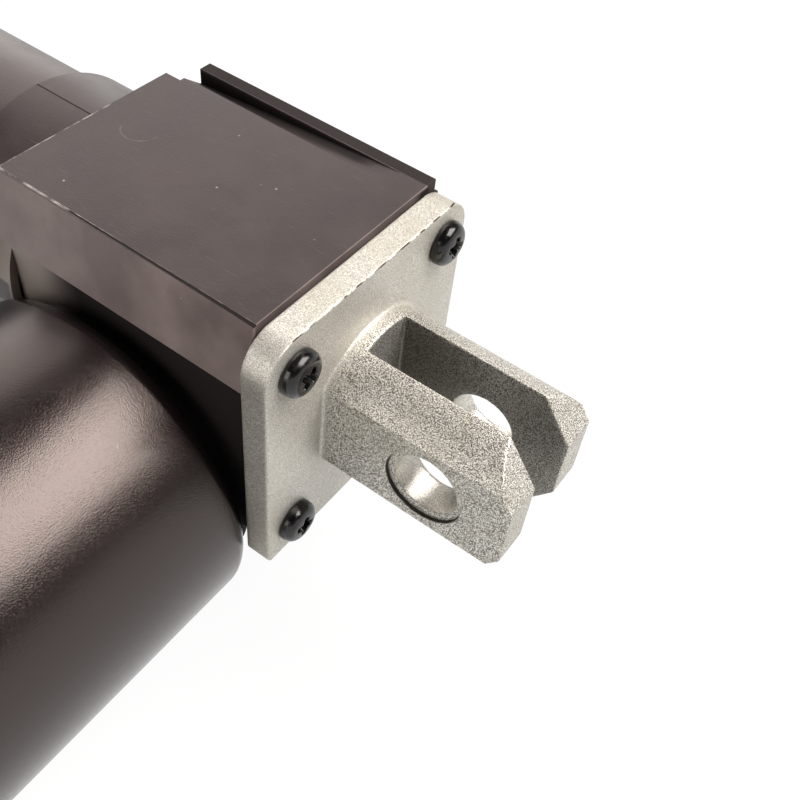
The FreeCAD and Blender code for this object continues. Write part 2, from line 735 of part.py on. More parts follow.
def motor_bushes():
    """The plain bushes that carry the motor shaft and the worm's far end."""
    axis = ("worm_x", "worm_z")
    running = "shaft_diameter / 2 + shaft_play"
    outer = "shaft_diameter / 2 + bush_wall"
    front = ("can_front - pilot_length", "can_front - pilot_length + bush_length")
    rear = ("can_end - cap_spigot", "can_end - cap_spigot + bush_length")
    node(sleeve("front_bush", "y", outer, running, *front, axis), "motor_front_bush")
    node(sleeve("rear_bush", "y", outer, running, *rear, axis), "motor_rear_bush")
    node(sleeve("worm_bush", "y", "worm_journal / 2 + bush_wall", "worm_journal / 2 + shaft_play",
                "worm_bush_far", "0 - chamber_half", axis), "worm_end_bush")


def brush_gear():
    """The brush card, the two carbon brushes and their coil springs."""
    axis = ("worm_x", "worm_z")
    card = sleeve("card", "y", "can_bore", "commutator_diameter / 2 + card_play",
                  "brush_mid + brush_width / 2", "brush_mid + brush_width / 2 + brush_card", axis)
    holes = [bar(f"card_bolt_hole_{i}", "y", "bolt_diameter / 2 + screw_play", "brush_mid",
                 "can_end", at) for i, at in enumerate(motor_bolt_places())]
    node(cut("card_drilled", card, *holes), "brush_holder")
    brushes, springs = [], []
    inner = "commutator_diameter / 2 + seat_play"
    spring_run = "can_bore - commutator_diameter / 2 - brush_length - spring_room"
    for side, sign in {"front": "+", "rear": "-"}.items():
        near = f"worm_x {sign} ({inner})"
        far = f"worm_x {sign} ({inner} + brush_length)"
        x = (near, far) if sign == "+" else (far, near)
        brushes.append(block(f"brush_{side}", x,
                             ("brush_mid - brush_width / 2", "brush_mid + brush_width / 2"),
                             ("worm_z - brush_width / 2", "worm_z + brush_width / 2")))
        wire = dims.get("spring_wire")
        reach = dims.get("brush_width") / 2
        spring = helix_thread(f"spring_{side}", f"({spring_run}) / spring_turns", spring_run,
                              "brush_width / 2 - spring_wire",
                              [(reach - wire, -wire / 2), (reach, -wire / 2),
                               (reach, wire / 2), (reach - wire, wire / 2)])
        spring.Placement.Rotation = Turn(V(0, 1, 0), 90 if sign == "+" else -90)
        place(spring, f"worm_x {sign} ({inner} + brush_length + spring_wire)", "brush_mid", "worm_z")
        springs.append(spring)
    node(group("brush_pair", brushes), "carbon_brushes")
    node(group("brush_spring_pair", springs), "brush_springs")


def rotor():
    """The motor shaft with armature, commutator and worm, which turn together."""
    axis = ("worm_x", "worm_z")
    journal = bar("shaft_journal", "y", "worm_journal / 2", "journal_far", "0 - worm_half - worm_hub / 2",
                  axis)
    shank = bar("shaft_shank", "y", "shaft_diameter / 2", "0 - worm_half - worm_hub / 2",
                "can_end - cap_spigot + bush_length - seat_play", axis)
    node(fuse("shaft", journal, shank), "motor_shaft")

    pitch_radius = dims.get("centre_distance") - dims.get("gear_module") * dims.get("wheel_teeth") / 2
    slope = math.tan(math.radians(dims.get("pressure_angle")))
    middle = math.pi * dims.get("gear_module") / 4 - dims.get("flank_play") / 2
    crest = middle - dims.get("tooth_addendum") * slope
    root = middle + dims.get("tooth_dedendum") * slope
    low = pitch_radius - dims.get("tooth_dedendum")
    high = pitch_radius + dims.get("tooth_addendum")
    thread = helix_thread("worm", "worm_pitch", "worm_pitch * worm_turns", "worm_root",
                          [(low, -root), (high, -crest), (high, crest), (low, root)])
    thread.Placement.Rotation = LIE["y"]
    place(thread, "worm_x", "0 - worm_half", "worm_z")
    core = bar("worm_core", "y", "worm_root + thread_sink", "0 - worm_half - worm_hub / 2",
               "worm_half + worm_hub", axis)
    hole = bar("worm_shaft_hole", "y", "shaft_diameter / 2", "0 - worm_half - worm_hub",
               "worm_half + worm_hub + overcut", axis)
    node(cut("worm_cut", fuse("worm_solid", core, thread), hole), "worm")

    slots = []
    for i, angle in enumerate(ring_places(int(dims.get("core_slots")))):
        slot = doc.addObject("Part::Box", f"core_slot_{i}")
        slot.setExpression("Length", bound("core_slot_depth + overcut"))
        slot.setExpression("Width", bound("core_slot_width"))
        slot.setExpression("Height", bound("core_length + 2 * overcut"))
        spin = Turn(V(0, 1, 0), angle)
        slot.Placement.Rotation = spin.multiply(LIE["y"])
        out = "(core_radius - core_slot_depth)"
        side = "(core_slot_width / 2)"
        east, north = math.cos(math.radians(angle)), math.sin(math.radians(angle))
        place(slot, f"worm_x + {out} * ({east}) + {side} * ({north})", "core_start - overcut",
              f"worm_z - {out} * ({north}) + {side} * ({east})")
        slots.append(slot)
    blank = sleeve("core_blank", "y", "core_radius", "shaft_diameter / 2", "core_start", "core_end",
                   axis)
    node(cut("core", blank, *slots), "armature_core")
    turns = [
        sleeve("winding_front", "y", "core_radius - winding_inset", "winding_bore / 2",
               "core_start - winding_length", "core_start", axis),
        sleeve("winding_rear", "y", "core_radius - winding_inset", "winding_bore / 2", "core_end",
               "core_end + winding_length", axis),
    ]
    node(group("windings", turns), "armature_windings")
    node(sleeve("commutator_ring", "y", "commutator_diameter / 2", "shaft_diameter / 2", "commutator_start",
                "commutator_end", axis), "commutator")


def wheel_outline(station, turn):
    """The closed outline of the worm wheel at a station on X, turned by an angle in degrees."""
    teeth = int(dims.get("wheel_teeth"))
    module = dims.get("gear_module")
    pitch_radius = module * teeth / 2
    base_radius = pitch_radius * math.cos(math.radians(dims.get("pressure_angle")))
    tip_radius = pitch_radius + dims.get("tooth_addendum")
    root_radius = pitch_radius - dims.get("tooth_dedendum")
    half_angle = (math.pi * module / 4 - dims.get("flank_play") / 2) / pitch_radius

    def involute(radius):
        lean = math.acos(min(1.0, base_radius / radius))
        return math.tan(lean) - lean

    flank = []
    for radius in (root_radius, pitch_radius, (pitch_radius + tip_radius) / 2, tip_radius):
        flank.append((radius, half_angle + involute(pitch_radius) - involute(max(radius, base_radius))))
    points = []
    for i in range(teeth):
        middle = math.radians(turn) + 2 * math.pi * (i + 0.5) / teeth - math.pi / 2
        for radius, angle in flank:
            points.append((radius, middle - angle))
        for radius, angle in reversed(flank):
            points.append((radius, middle + angle))
    corners = [V(station, radius * math.cos(angle), radius * math.sin(angle)) for radius, angle in points]
    return Part.makePolygon(corners + corners[:1])


def ball_bearing(name, bore, outer, start, end, count):
    """A deep-groove bearing about the spindle: outer ring, inner ring and balls as three pieces."""
    middle = f"(({bore}) + ({outer})) / 4"
    ball = f"(({outer}) - ({bore})) * ball_share"
    inner_land = f"{middle} - {ball} * land_share"
    outer_land = f"{middle} + {ball} * land_share"
    station = f"(({start}) + ({end})) / 2"

    def race(tag):
        groove = doc.addObject("Part::Torus", f"{name}_{tag}_groove")
        groove.Placement.Rotation = LIE["x"]
        groove.setExpression("Radius1", bound(middle))
        groove.setExpression("Radius2", bound(f"{ball} + ball_play"))
        place(groove, station)
        return groove

    outer_blank = sleeve(f"{name}_outer_blank", "x", f"({outer}) / 2", outer_land, start, end)
    inner_blank = sleeve(f"{name}_inner_blank", "x", inner_land, f"({bore}) / 2", start, end)
    outer_ring = cut(f"{name}_outer", outer_blank, race("outer"))
    inner_ring = cut(f"{name}_inner", inner_blank, race("inner"))
    balls = []
    for i, angle in enumerate(ring_places(count)):
        one = doc.addObject("Part::Sphere", f"{name}_ball_{i}")
        one.setExpression("Radius", bound(ball))
        place(one, station, f"{middle} * ({math.cos(math.radians(angle))})",
              f"{middle} * ({math.sin(math.radians(angle))})")
        balls.append(one)
    node(outer_ring, f"{name}_outer_ring")
    node(inner_ring, f"{name}_inner_ring")
    node(group(f"{name}_ball_set", balls), f"{name}_balls")


def spindle():
    """The lead screw with its wheel, key, spacer and lock nut."""
    ball_bearing("rear_bearing", "rear_journal", "rear_bearing", "rear_bearing_rear", "chamber_rear",
                 int(dims.get("rear_balls")))
    ball_bearing("front_bearing", "front_journal", "front_bearing", "chamber_front", "housing_front",
                 int(dims.get("front_balls")))
    lock_rear = "rear_bearing_rear - lock_length"
    tail = bar("spindle_tail", "x", "rear_journal / 2", lock_rear, "wheel_rear")
    seat = bar("spindle_seat", "x", "wheel_seat / 2", "wheel_rear", "seat_front")
    front = bar("spindle_front", "x", "front_journal / 2", "seat_front", "housing_front + seat_play")
    shoulder = bar("spindle_shoulder", "x", "shoulder_diameter / 2", "housing_front + seat_play",
                   "housing_front + shoulder_length")
    core = bar("spindle_core", "x", "screw_diameter / 2 - thread_depth + thread_sink",
               "housing_front + shoulder_length", "screw_end")
    thread = spindle_thread("spindle", 0.0, "thread_start", "screw_end - thread_start - screw_lead")
    keyway = block("spindle_keyway", ("worm_x - key_length / 2", "worm_x + key_length / 2"),
                   (minus("key_width / 2"), "key_width / 2"),
                   ("wheel_seat / 2 - key_sink", "wheel_seat"))
    turned = fuse("spindle_solid", tail, seat, front, shoulder, core, thread)
    node(cut("spindle_cut", turned, keyway), "lead_screw")
    node(block("key", ("worm_x - key_length / 2", "worm_x + key_length / 2"),
               (minus("key_width / 2"), "key_width / 2"),
               ("wheel_seat / 2 - key_sink", "wheel_seat / 2 + key_rise")), "wheel_key")
    node(sleeve("spacer", "x", "rear_journal / 2 + spacer_wall", "rear_journal / 2", "chamber_rear",
                "wheel_rear"), "spacer_sleeve")

    nut = doc.addObject("Part::Prism", "lock_hex")
    nut.Polygon = 6
    nut.Placement.Rotation = LIE["x"]
    nut.setExpression("Circumradius", bound("lock_flats / 2 / cos(30)"))
    nut.setExpression("Height", bound("lock_length"))
    place(nut, lock_rear)
    hole = bar("lock_hole", "x", "rear_journal / 2", "housing_rear - overcut", "chamber_rear")
    node(cut("lock", nut, hole), "spindle_lock_nut")

    width = dims.get("wheel_width")
    module = dims.get("gear_module")
    pitch_radius = module * dims.get("wheel_teeth") / 2
    lead_slope = module / (2 * (dims.get("centre_distance") - pitch_radius))
    twist = math.degrees(lead_slope * width / 2 / pitch_radius)
    blank = doc.addObject("Part::Feature", "wheel_blank")
    ends = [wheel_outline(-width / 2, -twist), wheel_outline(width / 2, twist)]
    blank.Shape = Part.makeLoft(ends, True, True)
    place(blank, "worm_x")
    wheel_keyway = block("wheel_keyway", ("wheel_rear - overcut", "wheel_front + overcut"),
                         (minus("key_width / 2"), "key_width / 2"), ("0", "wheel_seat / 2 + key_rise"))
    wheel_hole = bar("wheel_hole", "x", "wheel_seat / 2", "wheel_rear - overcut", "wheel_front + overcut")
    node(cut("wheel", blank, wheel_hole, wheel_keyway), "worm_wheel")


def spindle_thread(name, play, start, height):
    """The screw thread about X, grown by a play where it cuts a nut."""
    radius = dims.get("screw_diameter") / 2
    low = radius - dims.get("thread_depth")
    high = radius + play
    crest = dims.get("thread_crest") / 2 + play
    root = dims.get("thread_root") / 2 + play
    thread = helix_thread(name, "screw_lead", height, "screw_diameter / 2 - thread_depth",
                          [(low, -root), (high, -crest), (high, crest), (low, root)])
    thread.Placement.Rotation = LIE["x"]
    place(thread, start)
    return thread


def tube_set():
    """The outer tube with what is fixed at its two ends."""
    node(sleeve("tube", "x", "tube_radius", "tube_bore", "housing_front", "tube_end"), "outer_tube")
    node(sleeve("retainer", "x", "tube_bore", "shoulder_diameter / 2 + retainer_play", "housing_front",
                "housing_front + retainer_length"), "bearing_retainer")
    node(sleeve("guide", "x", "tube_bore", "rod_radius + guide_play", "guide_rear", "tube_end"),
         "guide_bush")
    node(sleeve("wiper", "x", "rod_radius + wiper_wall", "rod_radius + wiper_play", "tube_end",
                "tube_end + wiper_length"), "wiper_seal")
    turns = ring_places(int(dims.get("cap_screws")), dims.get("cap_screw_turn"))
    spots = [(f"front_cap_radius * ({math.cos(math.radians(turn))})",
              f"front_cap_radius * ({math.sin(math.radians(turn))})", turn) for turn in turns]
    station = "cap_rear + front_cap_overlap / 2"
    skin = bar("cap_skin", "x", "front_cap_radius", "cap_rear", "cap_front")
    tools = [
        bar("cap_tube_bore", "x", "tube_radius", "cap_rear - overcut", "tube_end"),
        bar("cap_wiper_seat", "x", "rod_radius + wiper_wall", "tube_end - overcut",
            "tube_end + wiper_length"),
        bar("cap_rod_hole", "x", "rod_radius + cap_rod_play", "cap_rear - overcut", "cap_front + overcut"),
    ]
    screws = []
    for i, (y, z, angle) in enumerate(spots):
        inward = Turn(V(1, 0, 0), angle + 90.0)
        fitted = []
        for use in ("hole", "screw"):
            for tag, radius, depth in (("shank", "cap_screw / 2", "front_cap_skirt"),
                                       ("head", "cap_screw_head / 2", "front_cap_skirt / 2")):
                drill = doc.addObject("Part::Cylinder", f"cap_{use}_{tag}_{i}")
                drill.Placement.Rotation = inward
                drill.setExpression("Radius", bound(radius))
                drill.setExpression("Height", bound(depth))
                place(drill, station, y, z)
                (tools if use == "hole" else fitted).append(drill)
        screws.append(fuse(f"cap_screw_{i}", *fitted))
    node(cut("front_cap_cut", skin, *tools), "front_cap")
    node(group("front_cap_screws", screws), "cap_screws")


def limit_switches():
    """The switch strip in the floor of the tube, its two switches and their plungers."""
    strip = common(
        "strip", bar("strip_round", "x", "tube_bore", "carrier_rear", "carrier_front"),
        block("strip_level", ("carrier_rear", "carrier_front"), ("0 - tube_bore", "tube_bore"),
              ("0 - tube_bore", "0 - carrier_level")))
    node(strip, "switch_carrier")
    for side in ("rear", "front"):
        x = f"{side}_switch_x"
        case = block(f"{side}_switch_case", (f"{x} - switch_length / 2", f"{x} + switch_length / 2"),
                     (minus("switch_width / 2"), "switch_width / 2"), ("0 - carrier_level", "switch_top"))
        well = block(f"{side}_switch_well",
                     (f"{x} - plunger_length / 2 - seat_play", f"{x} + plunger_length / 2 + seat_play"),
                     (minus("plunger_width / 2 + seat_play"), "plunger_width / 2 + seat_play"),
                     ("switch_top - plunger_well", "switch_top + overcut"))
        node(cut(f"{side}_switch", case, well), f"{side}_limit_switch")
        node(block(f"{side}_plunger", (f"{x} - plunger_length / 2", f"{x} + plunger_length / 2"),
                   (minus("plunger_width / 2"), "plunger_width / 2"),
                   ("switch_top + plunger_rise - plunger_height", "switch_top + plunger_rise")),
             f"{side}_switch_plunger")


def rod_set():
    """The drive nut, rod tube, rod end and their pins, which slide together."""
    radius = "rod_radius"
    body = bar("nut_body", "x", "tube_bore - nut_play", "nut_rear", "nut_front")
    flat = block("nut_flat_cut", ("nut_rear - overcut", "nut_front + overcut"),
                 ("0 - tube_radius", "tube_radius"), ("0 - tube_radius", "0 - nut_flat"))
    socket = bar("nut_rod_socket", "x", radius, "nut_step", "nut_front + overcut")
    bore = bar("nut_bore", "x", "screw_diameter / 2 - thread_depth + thread_sink + thread_play",
               "nut_rear - overcut", "nut_step + overcut")
    bare = dims.get("rear_run") - dims.get("shoulder_length") - dims.get("thread_runout")
    turns_back = math.floor(bare / dims.get("screw_lead")) - dims.get("nut_overrun")
    thread = spindle_thread("nut", dims.get("thread_play"), f"thread_start + screw_lead * ({turns_back})",
                            "nut_thread + 2 * nut_overrun * screw_lead")
    pin_x = "nut_step + nut_socket / 2"
    pin_tip = "tube_bore - nut_play"
    pin_root = f"{radius} - rod_wall / 2"
    pin_at = (pin_x, "0")
    pin_holes = [
        bar("nut_pin_hole_motor", "y", "nut_pin / 2", pin_root, f"{pin_tip} + overcut", pin_at),
        bar("nut_pin_hole_far", "y", "nut_pin / 2", f"0 - ({pin_tip}) - overcut", minus(pin_root), pin_at),
    ]
    blank = cut("nut_blank", body, flat, socket, bore, *pin_holes)
    node(cut("nut", blank, thread), "drive_nut")
    pins = [
        bar("nut_pin_motor", "y", "nut_pin / 2", pin_root, f"{pin_tip} - nut_pin_sink", pin_at),
        bar("nut_pin_far", "y", "nut_pin / 2", f"nut_pin_sink - ({pin_tip})", minus(pin_root), pin_at),
    ]
    node(group("nut_pin_pair", pins), "nut_pins")

    pipe = sleeve("rod_pipe", "x", radius, "rod_bore", "nut_step", "rod_front")
    end_at = ("rod_pin_x", "0")
    rod_holes = [
        bar("rod_nut_pin_motor", "y", "nut_pin / 2", pin_root, f"{radius} + overcut", pin_at),
        bar("rod_nut_pin_far", "y", "nut_pin / 2", f"0 - {radius} - overcut", minus(pin_root), pin_at),
        bar("rod_end_pin_hole", "z", "rod_pin / 2", f"0 - {radius} - overcut", f"{radius} + overcut", end_at),
    ]
    node(cut("rod_pipe_drilled", pipe, *rod_holes), "rod_tube")

    plug = bar("end_plug", "x", "rod_bore", "rod_front - plug_length", "rod_front")
    plug_hole = bar("end_plug_hole", "z", "rod_pin / 2", minus(radius), radius, end_at)
    head = fuse("rod_end_solid", plug, clevis_bar("front", "rod_front", 1))
    node(cut("rod_end_cut", head, plug_hole), "rod_end")
    node(bar("end_pin", "z", "rod_pin / 2", f"rod_pin_sink - {radius}", f"{radius} - rod_pin_sink", end_at),
         "rod_end_pin")


def write_parts():
    """Checks every object of the document, then writes one file for each piece."""
    doc.recompute()
    failed = [thing.Name for thing in doc.Objects if {"Invalid", "Error"} & set(thing.State)]
    failed += [thing.Label for thing in NODES if thing.Shape.isNull() or not thing.Shape.isValid()]
    if failed:
        raise RuntimeError(f"these objects failed: {failed}")
    os.makedirs("parts", exist_ok=True)
    for thing in NODES:
        thing.Shape.exportStep(f"parts/{thing.Label}.step")
        print(thing.Label, len(thing.Shape.Solids), round(thing.Shape.Volume, 1))


rear_clevis()
rear_gasket()
housing_halves()
motor_case()
motor_bushes()
brush_gear()
rotor()
spindle()
tube_set()
limit_switches()
rod_set()
write_parts()
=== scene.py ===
import logging
import math
from collections.abc import Iterable
from dataclasses import dataclass, field
from enum import Enum

import bmesh
import bpy
from mathutils import Matrix, Vector, noise


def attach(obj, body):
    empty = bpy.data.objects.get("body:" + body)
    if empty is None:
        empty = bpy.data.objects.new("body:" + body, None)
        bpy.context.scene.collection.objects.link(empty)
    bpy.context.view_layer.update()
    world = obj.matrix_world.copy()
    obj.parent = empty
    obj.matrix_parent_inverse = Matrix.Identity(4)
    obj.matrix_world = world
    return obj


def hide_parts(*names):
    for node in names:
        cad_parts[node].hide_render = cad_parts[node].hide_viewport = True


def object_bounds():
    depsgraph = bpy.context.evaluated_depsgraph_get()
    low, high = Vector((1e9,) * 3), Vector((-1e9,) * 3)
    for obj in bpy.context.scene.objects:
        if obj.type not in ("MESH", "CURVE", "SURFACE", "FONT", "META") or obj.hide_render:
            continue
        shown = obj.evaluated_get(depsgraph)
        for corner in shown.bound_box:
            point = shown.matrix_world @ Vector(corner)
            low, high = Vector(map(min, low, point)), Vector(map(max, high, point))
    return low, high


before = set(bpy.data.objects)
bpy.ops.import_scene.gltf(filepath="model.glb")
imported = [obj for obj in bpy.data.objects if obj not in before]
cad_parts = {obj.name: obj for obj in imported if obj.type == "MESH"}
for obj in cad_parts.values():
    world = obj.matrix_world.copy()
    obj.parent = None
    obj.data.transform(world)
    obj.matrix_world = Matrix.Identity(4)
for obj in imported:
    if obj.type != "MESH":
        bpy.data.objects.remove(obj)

Tree = bpy.types.NodeTree
Node = bpy.types.Node
Socket = bpy.types.NodeSocket
Piece = bpy.types.Object
Pair = tuple[float, float]
# Where a stretch starts, where it ends, and how far it fades outside each end.
Span = tuple[float, float, float]
Place = tuple[float, float, float]

CAD_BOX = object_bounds()
MM = 0.001
WHITE = "#ffffff"
# Farther off than any piece reaches, for a stretch that is open on one side.
FAR_MM = 500.0
# Nearly all values of a noise lie between these.
NOISE_LEVELS = (0.3, 0.7)
# The share of a speck's radius that shows in full.
SPECK_CORE = 0.4
# How far apart the bands of a wave texture lie at a scale of 1.
WAVE_STEP = 0.314
# Points of the CAD mesh closer than this are one point, and faces within the angle lie in one flat.
WELD_MM = 0.002
FLAT_DEGREES = 0.4
# Edges sharper than these are rounded by the mould, or left crisp by the reamer.
MOULD_EDGE_DEGREES = 38
REAMED_EDGE_DEGREES = 42
log = logging.getLogger("linear_actuator")


class Axis(Enum):
    """The axis that a turned or drawn surface is made round."""

    X = 0
    Y = 1
    Z = 2


class Join(Enum):
    """How several masks or measures become one."""

    ALL = "MULTIPLY"
    ANY = "MAXIMUM"
    LEAST = "MINIMUM"


class Side(Enum):
    """Which side of a map range a pair of levels is for."""

    FROM = "From"
    TO = "To"


class Cross(Enum):
    """How far the cross recess of a screw head stands turned, in degrees."""

    UPRIGHT = 10.0
    LEANING = 40.0
    TIPPED = 14.0
    DIAGONAL = 74.0


def linear(colour: str) -> tuple[float, float, float, float]:
    """Turns an sRGB hex colour into linear values.

    Args:
        colour: the colour as "#rrggbb".

    Returns:
        Red, green, blue and an alpha of 1.
    """
    levels = [int(colour[i:i + 2], 16) / 255 for i in (1, 3, 5)]
    return (*[c / 12.92 if c <= 0.04045 else ((c + 0.055) / 1.055) ** 2.4 for c in levels], 1.0)


def add(tree: Tree, kind: str, inputs: dict | None = None, stops: Iterable[tuple[float, str]] = (),
        **settings: object) -> Node:
    """Adds one node with its settings and links.

    Args:
        tree: the node tree that takes the node.
        kind: the node's type, without its ShaderNode prefix.
        inputs: values, or sockets to link from, by input name or number.
        stops: the (position, hex colour) stops of a colour ramp.
        settings: other properties of the node.

    Returns:
        The new node.
    """
    node = tree.nodes.new(f"ShaderNode{kind}")
    for name, value in settings.items():
        setattr(node, name, value)
    for index, (position, colour) in enumerate(stops):
        ramp = node.color_ramp.elements
        stop = ramp[index] if index < len(ramp) else ramp.new(position)
        stop.position = position
        stop.color = linear(colour)
    for name, value in (inputs or {}).items():
        if isinstance(value, bpy.types.NodeSocket):
            tree.links.new(value, node.inputs[name])
        else:
            node.inputs[name].default_value = value
    return node


def between(pair: Pair, side: Side = Side.FROM) -> dict[str, float]:
    """Gives the two inputs for one side of a map range.

    Args:
        pair: the two levels.
        side: which side they are for.

    Returns:
        The levels by the names of their inputs.
    """
    return {f"{side.value} Min": pair[0], f"{side.value} Max": pair[1]}


def band(tree: Tree, value: Socket, low: float, high: float, soft: float) -> Socket:
    """Marks the stretch of a value between two limits.

    Args:
        tree: the node tree.
        value: the value to test, such as one coordinate in millimetres.
        low: where the stretch starts.
        high: where it ends.
        soft: how far it fades outside each limit.

    Returns:
        A socket that is 1 inside the stretch and 0 outside it.
    """
    over = add(tree, "MapRange", {"Value": value, **between((low - soft, low))},
               interpolation_type="SMOOTHSTEP")
    under = add(tree, "MapRange", {"Value": value, **between((high + soft, high))},
                interpolation_type="SMOOTHSTEP")
    return joined(tree, Join.ALL, over.outputs[0], under.outputs[0])


def joined(tree: Tree, way: Join, *masks: Socket | float) -> Socket:
    """Joins masks into one.

    Args:
        tree: the node tree.
        way: whether all of them count, any of them, or the least.
        masks: the sockets to join, the first of which may be followed by plain shares.

    Returns:
        The socket of the joined mask.
    """
    result = masks[0]
    for mask in masks[1:]:
        result = add(tree, "Math", {0: result, 1: mask}, operation=way.value).outputs[0]
    return result


def layered(tree: Tree, base: Socket | tuple[float, ...], *layers: tuple[Socket, Socket | str]) -> Socket:
    """Lays colours over one another.

    Args:
        tree: the node tree.
        base: the lowest colour, as a socket or in linear values.
        layers: (mask, colour) pairs from below, each colour a socket or a hex value.

    Returns:
        The socket of the colour that shows.
    """
    result = base
    for mask, colour in layers:
        over = linear(colour) if isinstance(colour, str) else colour
        result = add(tree, "Mix", {0: mask, 6: result, 7: over}, data_type="RGBA").outputs[2]
    return result


@dataclass(frozen=True)
class Region:
    """A box with soft edges, by its span on each axis that counts."""

    x: Span | None = None
    y: Span | None = None
    z: Span | None = None

    def mask(self, tree: Tree, axes: Node) -> Socket:
        """Marks the inside of the box.

        Args:
            tree: the node tree.
            axes: the node that splits the coordinates.

        Returns:
            A socket that is 1 inside the box and 0 outside it.
        """
        spans = enumerate((self.x, self.y, self.z))
        return joined(tree, Join.ALL, *[band(tree, axes.outputs[i], *span) for i, span in spans if span])


def specks(tree: Tree, mm: Socket, spacing_mm: float, size_mm: float, level: float,
           strength: float) -> Socket:
    """Scatters round specks, such as dust, over a surface.

    Args:
        tree: the node tree.
        mm: the piece's coordinates in millimetres.
        spacing_mm: how far apart the places for a speck lie.
        size_mm: the radius of a speck.
        level: the share of the places that stay empty.
        strength: how much the strongest speck shows.

    Returns:
        The socket of the mask.
    """
    radius = size_mm / spacing_mm
    cell = add(tree, "TexVoronoi", {"Vector": mm, "Scale": 1 / spacing_mm})
    spot = add(tree, "MapRange", {
        "Value": cell.outputs["Distance"], **between((radius, SPECK_CORE * radius))})
    some = add(tree, "SeparateColor", {0: cell.outputs["Color"]})
    chosen = add(tree, "MapRange", {
        "Value": some.outputs[0], **between((level, 1.0)), "To Max": strength})
    return joined(tree, Join.ALL, spot.outputs[0], chosen.outputs[0])


@dataclass(frozen=True)
class Finish:
    """What all finishes share: a name, and the two ends of the node tree."""

    name: str

    def material(self) -> bpy.types.Material:
        """Builds the material at its first use.

        Returns:
            The material, with its patterns laid out in millimetres of the piece.
        """
        made = bpy.data.materials.get(self.name)
        if made is None:
            made = bpy.data.materials.new(self.name)
            made.use_nodes = True
            tree = made.node_tree
            tree.nodes.clear()
            place = add(tree, "TexCoord")
            mm = add(tree, "VectorMath", {0: place.outputs["Object"], "Scale": 1 / MM}, operation="SCALE")
            shader = self.shader(tree, mm.outputs[0])
            add(tree, "OutputMaterial", {"Surface": shader.outputs[0]})
        return made

    def shader(self, tree: Tree, mm: Socket) -> Node:
        """Gives the shader of one finish; each kind of finish has its own."""
        raise NotImplementedError


